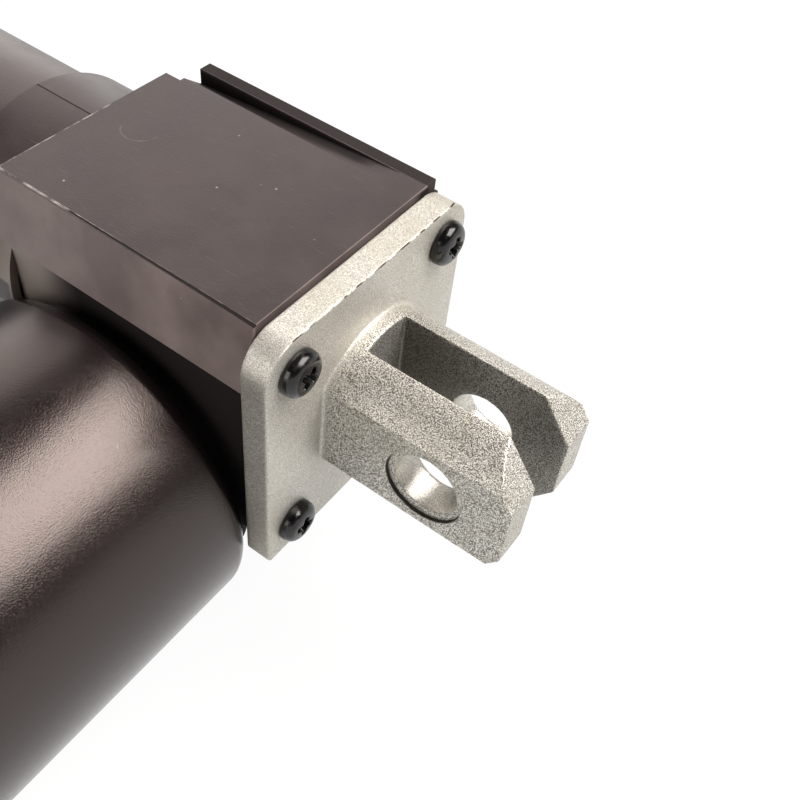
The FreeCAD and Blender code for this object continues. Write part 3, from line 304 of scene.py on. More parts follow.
@dataclass(frozen=True)
class MouldedNylon(Finish):
    """Black glass-filled nylon, injection moulded and worn by use.

    It shows a warm grey satin sheen with slow cloudy patches from the flow of the melt, short faint rub
    lines, scattered pale specks of dust and nicks, and the faint ring of an ejector pin, drawn only on its
    lit side, where it is a painted highlight. Painted light makes the wall on the motor's side paler, and
    also the panel's rear end and the wall's end by the tube. The halves meet in a dark gap that narrows
    towards the tube and there turns into pale torn flash; along the rest of the seam a faint painted
    highlight of the panel's edge shows. The groove along the far edge, the recess behind the motor and the
    far strip carry painted shade in dull black.
    """

    deep: str = "#221c1c"
    worn: str = "#383030"
    pale: str = "#c2b7b1"
    # Dull black for the seams of the gaps, and painted shade in the groove, the recess and on the far strip.
    seam_and_shade_black: str = "#120f0f"
    tint: str = "#ffeeec"
    # Painted light: paler tones on the motor-side wall, a share of them on the panel's rear end, and a paler
    # tone on the wall's end by the tube.
    wall_painted_light: tuple[str, str] = ("#786b69", "#9b8d8a")
    wall_end_painted_light: str = "#9a9088"
    rough: Pair = (0.38, 0.54)
    cloud_mm: float = 11.0
    cloud_levels: Pair = (0.34, 0.66)
    painted_light_levels: Pair = (0.36, 0.64)
    # Drawn coarser than the real grain of the mould, so that it shows.
    grain_mm: float = 0.2
    grain_depth_mm: float = 0.04
    rub_length_mm: float = 3.2
    rub_width_mm: float = 0.16
    rub_turn: float = math.radians(-38)
    rub_levels: Pair = (0.66, 0.82)
    rub_strength: float = 0.07
    speck_spacing_mm: float = 3.2
    speck_mm: float = 0.2
    speck_level: float = 0.4
    speck_strength: float = 0.75
    pin_mark_mm: Place = (61.6, -1.05, 22.9)
    pin_ring_mm: Span = (3.0, 3.04, 0.1)
    # Only the part of the ring that lies this way, past this measure, shows: its lit side, a painted
    # highlight on the ring's edge.
    pin_way: Place = (-0.4, 1.0, 0.0)
    pin_part_mm: Span = (-24.6, 0.0, 1.0)
    pin_levels: Pair = (0.4, 0.7)
    pin_strength: float = 0.25
    torn_mm: float = 1.8
    flash_levels: Pair = (0.4, 0.66)
    flash_strength: float = 0.6
    # On the seam a faint painted highlight of the panel's edge, at its share, grows into full torn flash
    # along this stretch of X.
    flash_grows_mm: Pair = (46.0, 54.0)
    edge_highlight_share: float = 0.35
    seam_flash_and_highlight: Region = Region(y=(18.34, 18.6, 0.12))
    front_flash: Region = Region(x=(69.28, 69.6, 0.1), y=(-1.0, 18.5, 2.0))
    panel_top: Region = Region(z=(22.6, 22.9, 0.2))
    # Where the painted light falls: the motor-side wall, the panel's rear end and the wall's end by the
    # tube.
    wall: Region = Region(x=(0.0, 69.5, 1.0), y=(18.6, FAR_MM, 0.1), z=(-FAR_MM, 22.85, 0.05))
    rear_end: Region = Region(x=(0.0, 22.6, 0.1), z=(19.9, 22.9, 1.0))
    rear_end_light_share: float = 0.45
    wall_end: Region = Region(x=(63.5, 69.6, 7.0), y=(8.0, 21.2, 0.1), z=(-FAR_MM, 11.5, 1.0))
    gap: Region = Region(x=(0.0, 54.0, 4.0), y=(18.4, FAR_MM, 0.06), z=(22.7, 22.9, 0.1))
    # The gap's outer side, measured across the seam, comes in by the taper for each millimetre of X.
    gap_taper: float = 0.008
    gap_side_mm: Span = (0.0, 19.08, 0.06)
    collar_gap: Region = Region(x=(71.5, 139.0, 1.5), y=(-0.1, 0.1, 0.06))
    # Painted shade: the groove fades to black towards the strip, and the recess darkens towards the plate.
    groove: Region = Region(y=(-18.8, -17.6, 2.4), z=(15.0, 22.4, 0.45))
    recess: Region = Region(x=(0.0, 55.0, 10.0), y=(18.7, 21.2, 0.3), z=(-FAR_MM, 9.5, 2.5))
    # Painted shade over most of the far strip.
    strip: Region = Region(y=(-FAR_MM, -18.8, 0.2))
    strip_shade_share: float = 0.85

    def marks(self, tree: Tree, mm: Socket, axes: Node) -> Socket:
        """Lays out what shows pale: rub lines, specks, torn flash, and painted highlights on the pin ring
        and seam.

        Args:
            tree: the node tree.
            mm: the piece's coordinates in millimetres.
            axes: the node that splits them.

        Returns:
            The socket of the mask.
        """
        along = add(tree, "Mapping", {
            "Vector": mm, "Rotation": (0.0, 0.0, self.rub_turn),
            "Scale": (1 / self.rub_length_mm, 1 / self.rub_width_mm, 1 / self.rub_width_mm)})
        rub = add(tree, "TexNoise", {"Vector": along.outputs[0], "Scale": 1.0, "Detail": 1.0})
        line = add(tree, "MapRange", {
            "Value": rub.outputs["Fac"], **between(self.rub_levels), "To Max": self.rub_strength})
        speck = specks(tree, mm, self.speck_spacing_mm, self.speck_mm, self.speck_level, self.speck_strength)
        torn = add(tree, "TexNoise", {"Vector": mm, "Scale": 1 / self.torn_mm, "Detail": 5.0})
        faint = add(tree, "MapRange", {
            "Value": torn.outputs["Fac"], **between(self.pin_levels), "To Max": self.pin_strength})
        off_pin = add(tree, "VectorMath", {0: mm, 1: self.pin_mark_mm}, operation="DISTANCE")
        lit_side = add(tree, "VectorMath", {0: mm, 1: self.pin_way}, operation="DOT_PRODUCT")
        ring = joined(tree, Join.ALL, band(tree, lit_side.outputs["Value"], *self.pin_part_mm),
                      band(tree, off_pin.outputs["Value"], *self.pin_ring_mm), faint.outputs[0])
        ragged = add(tree, "MapRange", {
            "Value": torn.outputs["Fac"], **between(self.flash_levels), "To Max": self.flash_strength})
        # A faint painted highlight of the panel's edge along the seam, growing into torn flash towards the
        # tube.
        growing = add(tree, "MapRange", {
            "Value": axes.outputs[0], **between(self.flash_grows_mm), "To Min": self.edge_highlight_share})
        flash_and_edge_highlight = joined(tree, Join.ALL, self.seam_flash_and_highlight.mask(tree, axes), growing.outputs[0])
        edges = joined(tree, Join.ANY, flash_and_edge_highlight, self.front_flash.mask(tree, axes))
        flash = joined(tree, Join.ALL, edges, self.panel_top.mask(tree, axes), ragged.outputs[0])
        return joined(tree, Join.ANY, line.outputs[0], speck, ring, flash)

    def seams_and_painted_shade(self, tree: Tree, mm: Socket, axes: Node) -> Socket:
        """Lays out what is dull black: the seams of the gaps, and painted shade in the groove, the recess
        and the far strip.

        Args:
            tree: the node tree.
            mm: the piece's coordinates in millimetres.
            axes: the node that splits them.

        Returns:
            The socket of the mask.
        """
        across = add(tree, "VectorMath", {0: mm, 1: (self.gap_taper, 1.0, 0.0)}, operation="DOT_PRODUCT")
        gap = joined(tree, Join.ALL, self.gap.mask(tree, axes),
                     band(tree, across.outputs["Value"], *self.gap_side_mm))
        strip = joined(tree, Join.ALL, self.strip.mask(tree, axes), self.strip_shade_share)
        rest = [region.mask(tree, axes) for region in (self.collar_gap, self.groove, self.recess)]
        return joined(tree, Join.ANY, gap, *rest, strip)

    def shader(self, tree: Tree, mm: Socket) -> Node:
        """Builds the shader.

        Args:
            tree: the node tree.
            mm: the piece's coordinates in millimetres.

        Returns:
            The Principled shader.
        """
        axes = add(tree, "SeparateXYZ", {0: mm})
        wear = self.marks(tree, mm, axes)
        cloud = add(tree, "TexNoise", {"Vector": mm, "Scale": 1 / self.cloud_mm, "Detail": 4.0})
        tone = add(tree, "ValToRGB", {"Fac": cloud.outputs["Fac"]},
                   zip(self.cloud_levels, (self.deep, self.worn)))
        # Painted light on the motor-side wall, the panel's rear end and the wall's end by the tube.
        painted_light_tone = add(tree, "ValToRGB", {"Fac": cloud.outputs["Fac"]}, zip(self.painted_light_levels, self.wall_painted_light))
        rear_end = joined(tree, Join.ALL, self.rear_end.mask(tree, axes), self.rear_end_light_share)
        painted_light_mask = joined(tree, Join.ANY, self.wall.mask(tree, axes), rear_end)
        # Seams in black, and painted shade in the groove, the recess and on the far strip.
        dull = self.seams_and_painted_shade(tree, mm, axes)
        colour = layered(
            tree, tone.outputs[0], (painted_light_mask, painted_light_tone.outputs[0]),
            (self.wall_end.mask(tree, axes), self.wall_end_painted_light), (wear, self.pale), (dull, self.seam_and_shade_black))
        sheen = add(tree, "MapRange", {
            "Value": cloud.outputs["Fac"], **between(NOISE_LEVELS), **between(self.rough, Side.TO)})
        rough = joined(tree, Join.ANY, sheen.outputs[0], dull)
        grain = add(tree, "TexNoise", {"Vector": mm, "Scale": 1 / self.grain_mm, "Detail": 2.0})
        height = add(tree, "Math", {0: grain.outputs["Fac"], 1: wear}, operation="ADD")
        bump = add(tree, "Bump", {
            "Height": height.outputs[0], "Strength": 0.8, "Distance": self.grain_depth_mm * MM})
        return add(tree, "BsdfPrincipled", {
            "Base Color": colour, "Roughness": rough, "IOR": 1.48,
            "Specular Tint": linear(self.tint), "Normal": bump.outputs[0]})


@dataclass(frozen=True)
class SatinEnamel(Finish):
    """Black stoving enamel, sprayed over drawn metal.

    It shows a broad soft highlight, slightly warm, that the fine grain of the spray breaks up, over a deep
    brown black, with a little dust caught in the film.
    """

    colour: str = "#171213"
    dust: str = "#8d8380"
    tint: str = "#ffe9e1"
    rough: Pair = (0.19, 0.23)
    peel_mm: float = 0.22
    peel_depth_mm: float = 0.05
    flow_mm: float = 9.0
    dust_spacing_mm: float = 5.0
    dust_mm: float = 0.13
    dust_level: float = 0.6
    dust_strength: float = 0.6
    ior: float = 1.58
    coat: float = 0.2

    def shader(self, tree: Tree, mm: Socket) -> Node:
        """Builds the shader.

        Args:
            tree: the node tree.
            mm: the piece's coordinates in millimetres.

        Returns:
            The Principled shader.
        """
        speck = specks(tree, mm, self.dust_spacing_mm, self.dust_mm, self.dust_level, self.dust_strength)
        colour = layered(tree, linear(self.colour), (speck, self.dust))
        flow = add(tree, "TexNoise", {"Vector": mm, "Scale": 1 / self.flow_mm, "Detail": 3.0})
        sheen = add(tree, "MapRange", {
            "Value": flow.outputs["Fac"], **between(NOISE_LEVELS), **between(self.rough, Side.TO)})
        peel = add(tree, "TexNoise", {"Vector": mm, "Scale": 1 / self.peel_mm, "Detail": 2.0})
        bump = add(tree, "Bump", {
            "Height": peel.outputs["Fac"], "Strength": 1.0, "Distance": self.peel_depth_mm * MM})
        return add(tree, "BsdfPrincipled", {
            "Base Color": colour, "Roughness": sheen.outputs[0], "IOR": self.ior,
            "Specular Tint": linear(self.tint), "Coat Weight": self.coat, "Coat Roughness": 0.18,
            "Normal": bump.outputs[0]})


@dataclass(frozen=True)
class BlastedCasting(Finish):
    """Die-cast aluminium alloy, shot blasted.

    It shows a matte silver of small dents, each with a bright and a dark side, a slightly yellow tone where
    the blasting was thin, and pale rubbed edges. The plate has weaker dents than the ears. The oxide in the
    dents scatters light, so the surface is only partly metallic. The slot and the corner of the relief round
    the pin carry painted shade, and a torn line on the plate's upper edge keeps a dark as-cast surface. The
    reamed hole is paler and smoother, and its pale tone is raised further as a painted highlight of its
    glare.
    """

    shade: str = "#5a554d"
    silver: str = "#f2efe7"
    even: str = "#cdc9c1"
    stain: str = "#aca790"
    rubbed: str = "#e4e0d9"
    # Painted shade in the slots and the corner of the relief, and the dark as-cast surface of the torn plate
    # edge.
    skin_and_shade: str = "#423e38"
    # The reamed bore's paler metal, raised further as a painted highlight for the glare in the hole.
    bore_pale_and_glare: str = "#f0ede6"
    metallic: float = 0.7
    rough: float = 0.5
    reamed_rough: float = 0.3
    dent_mm: float = 0.14
    dent_levels: Pair = (0.38, 0.62)
    dent_depth_mm: float = 0.04
    # The dents grow from their share on the plate to full on the ears along this stretch of X.
    ears_mm: Pair = (17.4, 15.4)
    plate_share: float = 0.4
    patch_mm: float = 11.0
    patch_levels: Pair = (0.4, 0.7)
    patch_strength: float = 0.34
    rub_levels: Pair = (0.56, 0.66)
    rub_strength: float = 0.4
    # Painted shade between the ears of each clevis.
    slots: tuple[Region, Region] = (Region(x=(-FAR_MM, 14.9, 0.1), y=(-4.45, 4.45, 0.1)),
                                    Region(x=(264.6, FAR_MM, 0.1), y=(-4.45, 4.45, 0.1)))
    slot_shade_share: float = 0.54
    front_pin_mm: Place = (279.5, 0.0, 0.0)
    bore_mm: Span = (0.0, 5.12, 0.04)
    bore_glare_share: float = 0.4
    # Painted shade in the corner of the relief round each pin.
    relief_mm: Span = (6.2, 6.3, 0.05)
    relief_y_mm: Span = (9.95, 10.55, 0.1)
    # The plate's upper edge, by the sum of X and Z.
    plate_edge_mm: Span = (39.86, 40.1, 0.08)
    plate_top: Region = Region(z=(21.8, 22.6, 0.1))
    torn_mm: float = 2.5
    torn_levels: Pair = (0.44, 0.56)

    def painted_shade_and_skin(self, tree: Tree, mm: Socket, axes: Node, to_pin: Socket) -> Socket:
        """Lays out the painted shade in the slots and the relief's corner, and the dark as-cast torn plate
        edge.

        Args:
            tree: the node tree.
            mm: the piece's coordinates in millimetres.
            axes: the node that splits them.
            to_pin: how far the nearer pin's axis is, in millimetres.

        Returns:
            The socket of the mask.
        """
        either = joined(tree, Join.ANY, *[slot.mask(tree, axes) for slot in self.slots])
        slot = joined(tree, Join.ALL, either, self.slot_shade_share)
        off_middle = add(tree, "Math", {0: axes.outputs[1]}, operation="ABSOLUTE")
        corner = joined(tree, Join.ALL, band(tree, to_pin, *self.relief_mm),
                        band(tree, off_middle.outputs[0], *self.relief_y_mm))
        across = add(tree, "VectorMath", {0: mm, 1: (1.0, 0.0, 1.0)}, operation="DOT_PRODUCT")
        ragged = add(tree, "TexNoise", {"Vector": mm, "Scale": 1 / self.torn_mm, "Detail": 4.0})
        torn = add(tree, "MapRange", {"Value": ragged.outputs["Fac"], **between(self.torn_levels)})
        edge = joined(tree, Join.ALL, band(tree, across.outputs["Value"], *self.plate_edge_mm),
                      self.plate_top.mask(tree, axes), torn.outputs[0])
        return joined(tree, Join.ANY, slot, corner, edge)

    def shader(self, tree: Tree, mm: Socket) -> Node:
        """Builds the shader.

        Args:
            tree: the node tree.
            mm: the piece's coordinates in millimetres.

        Returns:
            The Principled shader.
        """
        axes = add(tree, "SeparateXYZ", {0: mm})
        dent = add(tree, "TexNoise", {"Vector": mm, "Scale": 1 / self.dent_mm, "Detail": 0.0})
        tone = add(tree, "ValToRGB", {"Fac": dent.outputs["Fac"]},
                   zip(self.dent_levels, (self.shade, self.silver)))
        coarse = add(tree, "MapRange", {
            "Value": axes.outputs[0], **between(self.ears_mm), "To Min": self.plate_share})
        patch = add(tree, "TexNoise", {"Vector": mm, "Scale": 1 / self.patch_mm, "Detail": 3.0})
        thin = add(tree, "MapRange", {
            "Value": patch.outputs["Fac"], **between(self.patch_levels), "To Max": self.patch_strength})
        edge = add(tree, "NewGeometry")
        rub = add(tree, "MapRange", {
            "Value": edge.outputs["Pointiness"], **between(self.rub_levels), "To Max": self.rub_strength})
        flat = add(tree, "VectorMath", {0: mm, 1: (1.0, 0.0, 1.0)}, operation="MULTIPLY")
        to_rear = add(tree, "VectorMath", {0: flat.outputs[0]}, operation="LENGTH")
        to_front = add(tree, "VectorMath", {0: flat.outputs[0], 1: self.front_pin_mm}, operation="DISTANCE")
        to_pin = joined(tree, Join.LEAST, to_rear.outputs["Value"], to_front.outputs["Value"])
        reamed = band(tree, to_pin, *self.bore_mm)
        # Over the dents and tone: painted shade in the slots and relief corners with the dark torn edge,
        # then the bore's pale tone raised as a painted highlight.
        colour = layered(
            tree, linear(self.even), (coarse.outputs[0], tone.outputs[0]), (thin.outputs[0], self.stain),
            (rub.outputs[0], self.rubbed), (self.painted_shade_and_skin(tree, mm, axes, to_pin), self.skin_and_shade),
            (joined(tree, Join.ALL, reamed, self.bore_glare_share), self.bore_pale_and_glare))
        gloss = add(tree, "MapRange", {"Value": reamed, **between((self.rough, self.reamed_rough), Side.TO)})
        bump = add(tree, "Bump", {
            "Height": dent.outputs["Fac"], "Strength": 1.0, "Distance": self.dent_depth_mm * MM})
        return add(tree, "BsdfPrincipled", {
            "Base Color": colour, "Metallic": self.metallic, "Roughness": gloss.outputs[0],
            "Normal": bump.outputs[0]})


@dataclass(frozen=True)
class TonedFinish(Finish):
    """What the plainer finishes share: one noise sets tone and gloss together, over a fine relief."""

    light: str
    dark: str
    rough: float
    rough_shares: Pair = (0.8, 1.2)
    levels: Pair = NOISE_LEVELS
    metallic: float = 0.0
    tone_mm: float = 6.0
    detail: float = 3.0
    # Without a grain of its own, the relief follows the tone.
    grain_mm: float | None = None
    relief: float = 0.3
    depth_mm: float = 0.03

    def sizes(self) -> Place:
        """Gives the size of the noise on each axis, in millimetres."""
        return (self.tone_mm, self.tone_mm, self.tone_mm)

    def shader(self, tree: Tree, mm: Socket) -> Node:
        """Builds the shader.

        Args:
            tree: the node tree.
            mm: the piece's coordinates in millimetres.

        Returns:
            The Principled shader.
        """
        along = add(tree, "Mapping", {"Vector": mm, "Scale": [1 / size for size in self.sizes()]})
        tone = add(tree, "TexNoise", {"Vector": along.outputs[0], "Scale": 1.0, "Detail": self.detail})
        height = tone
        if self.grain_mm:
            height = add(tree, "TexNoise", {"Vector": mm, "Scale": 1 / self.grain_mm, "Detail": 2.0})
        colour = add(tree, "ValToRGB", {"Fac": tone.outputs["Fac"]},
                     zip(self.levels, (self.dark, self.light)))
        low, high = self.rough_shares
        gloss = add(tree, "MapRange", {"Value": tone.outputs["Fac"], **between(NOISE_LEVELS),
                                       **between((low * self.rough, high * self.rough), Side.TO)})
        bump = add(tree, "Bump", {
            "Height": height.outputs["Fac"], "Strength": self.relief, "Distance": self.depth_mm * MM})
        return add(tree, "BsdfPrincipled", {
            "Base Color": colour.outputs[0], "Metallic": self.metallic, "Roughness": gloss.outputs[0],
            "Normal": bump.outputs[0]})


@dataclass(frozen=True)
class BlackOxideSteel(TonedFinish):
    """Carbon steel, black oxide over a cold-headed surface, oiled.

    It shows a deep black gloss with small sharp highlights and faint brown-grey wear where a driver has
    turned. The oxide and oil cover the metal, so it is not metallic.
    """

    light: str = "#2e2a28"
    dark: str = "#0d0c0d"
    rough: float = 0.2
    rough_shares: Pair = (0.7, 1.3)
    levels: Pair = (0.5, 0.8)
    tone_mm: float = 1.1


@dataclass(frozen=True)
class TurnedMetal(TonedFinish):
    """A bare metal turned, ground or drawn on one axis.

    It shows fine rings round that axis, or lines along it, that stretch each highlight across them.
    """

    light: str = "#b4b4b3"
    dark: str = "#7c7c7d"
    rough: float = 0.30
    metallic: float = 1.0
    axis: Axis = Axis.X
    # Drawn coarser than the real tool marks, so that they show.
    line_mm: float = 0.14
    run_mm: float = 40.0
    relief: float = 0.2
    depth_mm: float = 0.02

    def sizes(self) -> Place:
        """Gives short steps along the axis and long runs across it, in millimetres."""
        return tuple(self.line_mm if axis is self.axis else self.run_mm for axis in Axis)


@dataclass(frozen=True)
class MouldedPart(TonedFinish):
    """A moulded, pressed or sintered non-metal in one colour.

    It shows an even tone with slight clouding and a fine matt grain.
    """

    rough_shares: Pair = (0.85, 1.1)
    detail: float = 4.0
    grain_mm: float = 0.25


@dataclass(frozen=True)
class WoundCopper(Finish):
    """Enamelled copper wire, wound side by side along the armature.

    It shows round glossy strands in rows, amber where they catch light, with painted shade in brown between
    them.
    """

    strand: str = "#b5652f"
    shade_between_strands: str = "#4a2412"
    wire_mm: float = 0.6
    row_levels: Pair = (0.1, 0.6)
    row_depth_mm: float = 0.2

    def shader(self, tree: Tree, mm: Socket) -> Node:
        """Builds the shader.

        Args:
            tree: the node tree.
            mm: the piece's coordinates in millimetres.

        Returns:
            The Principled shader.
        """
        row = add(tree, "TexWave", {"Vector": mm, "Scale": WAVE_STEP / self.wire_mm, "Distortion": 0.6},
                  bands_direction="DIAGONAL")
        colour = add(tree, "ValToRGB", {"Fac": row.outputs["Fac"]},
                     zip(self.row_levels, (self.shade_between_strands, self.strand)))
        bump = add(tree, "Bump", {
            "Height": row.outputs["Fac"], "Strength": 0.9, "Distance": self.row_depth_mm * MM})
        return add(tree, "BsdfPrincipled", {
            "Base Color": colour.outputs[0], "Metallic": 0.7, "Roughness": 0.3, "Coat Weight": 0.6,
            "Normal": bump.outputs[0]})


NYLON = MouldedNylon("black_nylon_moulded")
CAN_ENAMEL = SatinEnamel("black_enamel_sprayed_on_drawn_steel")
TUBE_ENAMEL = SatinEnamel("black_enamel_sprayed_on_aluminium_tube", colour="#262020", tint="#ffeae3",
                          rough=(0.38, 0.46), coat=0.0)
CASTING = BlastedCasting("die_cast_aluminium_shot_blasted")
BLACK_OXIDE = BlackOxideSteel("carbon_steel_black_oxide")
STEEL_X = TurnedMetal("steel_ground_on_spindle_axis")
STEEL_Y = TurnedMetal("steel_ground_on_motor_axis", axis=Axis.Y)
BALL_STEEL = TurnedMetal("bearing_steel_lapped", light="#d2d2d2", dark="#a9a9aa", rough=0.12, line_mm=0.5)
CHROME = TurnedMetal("hard_chrome_plated_steel", light="#d4d5d7", dark="#b9bbbe", rough=0.13, line_mm=0.3)
BRONZE_X = TurnedMetal("tin_bronze_turned", light="#c39a55", dark="#97713a", rough=0.32)
BRONZE_Y = TurnedMetal("sintered_bronze_bush", light="#b28a4c", dark="#805f33", rough=0.42, axis=Axis.Y)
COMMUTATOR = TurnedMetal("copper_turned", light="#cf8a5b", dark="#9a5a37", rough=0.28, axis=Axis.Y)
LAMINATION = TurnedMetal("silicon_steel_laminations_stacked", light="#8d8d8e", dark="#3f3f41", rough=0.4,
                         axis=Axis.Y, line_mm=0.5)
WINDING = WoundCopper("enamelled_copper_wire_wound")
RUBBER = MouldedPart("nitrile_rubber_moulded", light="#232120", dark="#191716", rough=0.7)
ACETAL = MouldedPart("acetal_turned", light="#ddd8ca", dark="#cfc8b6", rough=0.42)
FERRITE = MouldedPart("ferrite_sintered", light="#3a3b40", dark="#2a2a2e", rough=0.6, relief=0.6)
CARBON = MouldedPart("carbon_graphite_pressed", light="#303135", dark="#1f2023", rough=0.5)
LAMINATE = MouldedPart("glass_epoxy_board_laminated", light="#4a6f50", dark="#3a5a42", rough=0.4)
SWITCH_BODY = MouldedPart("thermoplastic_polyester_moulded_black", light="#2a2a2f", dark="#202024",
                          rough=0.35)
PLUNGER = MouldedPart("acetal_moulded_red", light="#b5403a", dark="#9a322d", rough=0.35)


def dress(finishes: dict[str, Finish]) -> None:
    """Gives CAD nodes their finishes.

    Args:
        finishes: each CAD node's name with the finish that it takes.
    """
    for node, finish in finishes.items():
        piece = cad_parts[node]
        if not piece.material_slots:
            piece.data.materials.append(None)
        for slot in piece.material_slots:
            slot.material = finish.material()
        log.info("%s takes %s", node, finish.name)


def coat(piece: Piece, finish: Finish) -> None:
    """Gives a new piece its one finish.

    Args:
        piece: the piece.
        finish: the finish that it takes.
    """
    piece.data.materials.clear()
    piece.data.materials.append(finish.material())


def soften(node: str, width_mm: float, segments: int = 3) -> None:
    """Rounds the sharp edges of a CAD node as its mould or tool leaves them, by modifiers only.

    Args:
        node: the CAD node's name.
        width_mm: how wide the rounding is.
        segments: how many faces go round it.
    """
    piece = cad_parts[node]
    weld = piece.modifiers.new("weld", "WELD")
    weld.merge_threshold = WELD_MM * MM
    flats = piece.modifiers.new("flats", "DECIMATE")
    flats.decimate_type = "DISSOLVE"
    flats.angle_limit = math.radians(FLAT_DEGREES)
    edge = piece.modifiers.new("edge", "BEVEL")
    edge.limit_method = "ANGLE"
    edge.angle_limit = math.radians(MOULD_EDGE_DEGREES)
    edge.width = width_mm * MM
    edge.segments = segments
    edge.use_clamp_overlap = True
    shading = piece.modifiers.new("shading", "WEIGHTED_NORMAL")
    shading.weight = 50


def even_out(piece: Piece, voxel_mm: float, passes: int) -> None:
    """Remakes a piece in even small faces and rounds its edges over, by modifiers that settle applies.

    Args:
        piece: the piece.
        voxel_mm: how wide the new faces are.
        passes: how often the surface is smoothed.
    """
    even = piece.modifiers.new("even", "REMESH")
    even.mode = "VOXEL"
    even.voxel_size = voxel_mm * MM
    smooth = piece.modifiers.new("smooth", "SMOOTH")
    smooth.factor = 0.5
    smooth.iterations = passes


def bite(piece: Piece, cutter: Piece) -> None:
    """Cuts one piece out of another, by a modifier that settle applies.

    Args:
        piece: the piece that is cut.
        cutter: the piece that is taken away from it.
    """
    cut = piece.modifiers.new("bite", "BOOLEAN")
    cut.operation = "DIFFERENCE"
    cut.object = cutter


def settle(piece: Piece) -> None:
    """Turns a piece's modifiers into its own smooth-shaded mesh.

    Args:
        piece: the piece, which then has no modifiers.
    """
    view = bpy.context.evaluated_depsgraph_get()
    mesh = bpy.data.meshes.new_from_object(piece.evaluated_get(view))
    mesh.polygons.foreach_set("use_smooth", [True] * len(mesh.polygons))
    piece.modifiers.clear()
    piece.data = mesh
    mesh.name = piece.name


def to_piece(made: bmesh.types.BMesh, name: str) -> Piece:
    """Turns a mesh drawn in millimetres into an object.

    Args:
        made: the mesh, which is freed.
        name: the object's name.

    Returns:
        The object, linked to the scene.
    """
    bmesh.ops.recalc_face_normals(made, faces=made.faces)
    bmesh.ops.scale(made, vec=(MM, MM, MM), verts=made.verts)
    mesh = bpy.data.meshes.new(name)
    made.to_mesh(mesh)
    made.free()
    piece = bpy.data.objects.new(name, mesh)
    bpy.context.scene.collection.objects.link(piece)
    return piece


def lathe(outline: list[Pair], turns: int) -> bmesh.types.BMesh:
    """Turns an outline round the X axis.

    Args:
        outline: (distance along X, radius) pairs in millimetres, with radius 0 at both ends.
        turns: how many faces go round.

    Returns:
        The closed mesh.
    """
    made = bmesh.new()
    rings = []
    for along, radius in outline:
        count = turns if radius else 1
        rings.append([made.verts.new((along, radius * math.cos(2 * math.pi * i / turns),
                                      radius * math.sin(2 * math.pi * i / turns))) for i in range(count)])
    for near, far in zip(rings, rings[1:]):
        for i in range(turns):
            j = (i + 1) % turns
            face = [near[i % len(near)], near[j % len(near)], far[j % len(far)], far[i % len(far)]]
            made.faces.new(list(dict.fromkeys(face)))
    return made


@dataclass
class CastSurface:
    """The dents and slow unevenness of a blasted casting, always cut inwards."""

    dent_mm: float = 0.5
    dent_depth_mm: float = 0.02
    wave_mm: float = 5.0
    wave_depth_mm: float = 0.05

    def roughen(self, piece: Piece) -> None:
        """Moves each point of a piece inwards by the dents and the waves.

        Args:
            piece: the piece with small even faces.
        """
        mesh = piece.data
        sunk = []
        for point in mesh.vertices:
            at = point.co / MM
            dent = 0.5 + 0.5 * noise.noise(at / self.dent_mm)
            wave = 0.5 + 0.5 * noise.noise(at / self.wave_mm)
            depth = (dent * self.dent_depth_mm + wave * self.wave_depth_mm) * MM
            sunk.extend(point.co - point.normal * depth)
        mesh.vertices.foreach_set("co", sunk)
        mesh.update()


@dataclass
class PinBore:
    """The cross hole for a clevis pin, reamed after blasting, with a shallow relief at each face."""

    x_mm: float = 0.0
    radius_mm: float = 5.07
    relief_radius_mm: float = 6.27
    relief_y_mm: float = 9.9
    reach_mm: float = 14.0
    turns: int = 128

    def ream(self, piece: Piece) -> None:
        """Cuts the hole into a casting with crisp edges.

        Args:
            piece: the casting.
        """
        outline = [(-self.reach_mm, 0.0), (-self.reach_mm, self.relief_radius_mm),
                   (-self.relief_y_mm, self.relief_radius_mm), (-self.relief_y_mm, self.radius_mm)]
        outline += [(-along, radius) for along, radius in reversed(outline)]
        made = lathe(outline, self.turns)
        bmesh.ops.rotate(made, matrix=Matrix.Rotation(math.pi / 2, 3, "Z"), verts=made.verts)
        bmesh.ops.translate(made, vec=(self.x_mm, 0.0, 0.0), verts=made.verts)
        cutter = to_piece(made, f"{piece.name}_reamer")
        bite(piece, cutter)
        settle(piece)
        piece.data.set_sharp_from_angle(angle=math.radians(REAMED_EDGE_DEGREES))
        bpy.data.objects.remove(cutter)


@dataclass
class CastClevis:
    """What both cast clevises share: how finely they are remade, their blasted surface and their bore."""

    voxel_mm: float = 0.24
    passes: int = 5
    surface: CastSurface = field(default_factory=CastSurface)
    bore: PinBore = field(default_factory=PinBore)

    def casting(self, node: str, name: str) -> Piece:
        """Makes a casting with rounded edges and blasted faces from its CAD node.

        Args:
            node: the CAD node's name.
            name: the new piece's name.

        Returns:
            The new piece.
        """
        piece = bpy.data.objects.new(name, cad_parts[node].data.copy())
        bpy.context.scene.collection.objects.link(piece)
        even_out(piece, self.voxel_mm, self.passes)
        settle(piece)
        self.surface.roughen(piece)
        self.bore.ream(piece)
        coat(piece, CASTING)
        log.info("%s made", piece.name)
        return piece


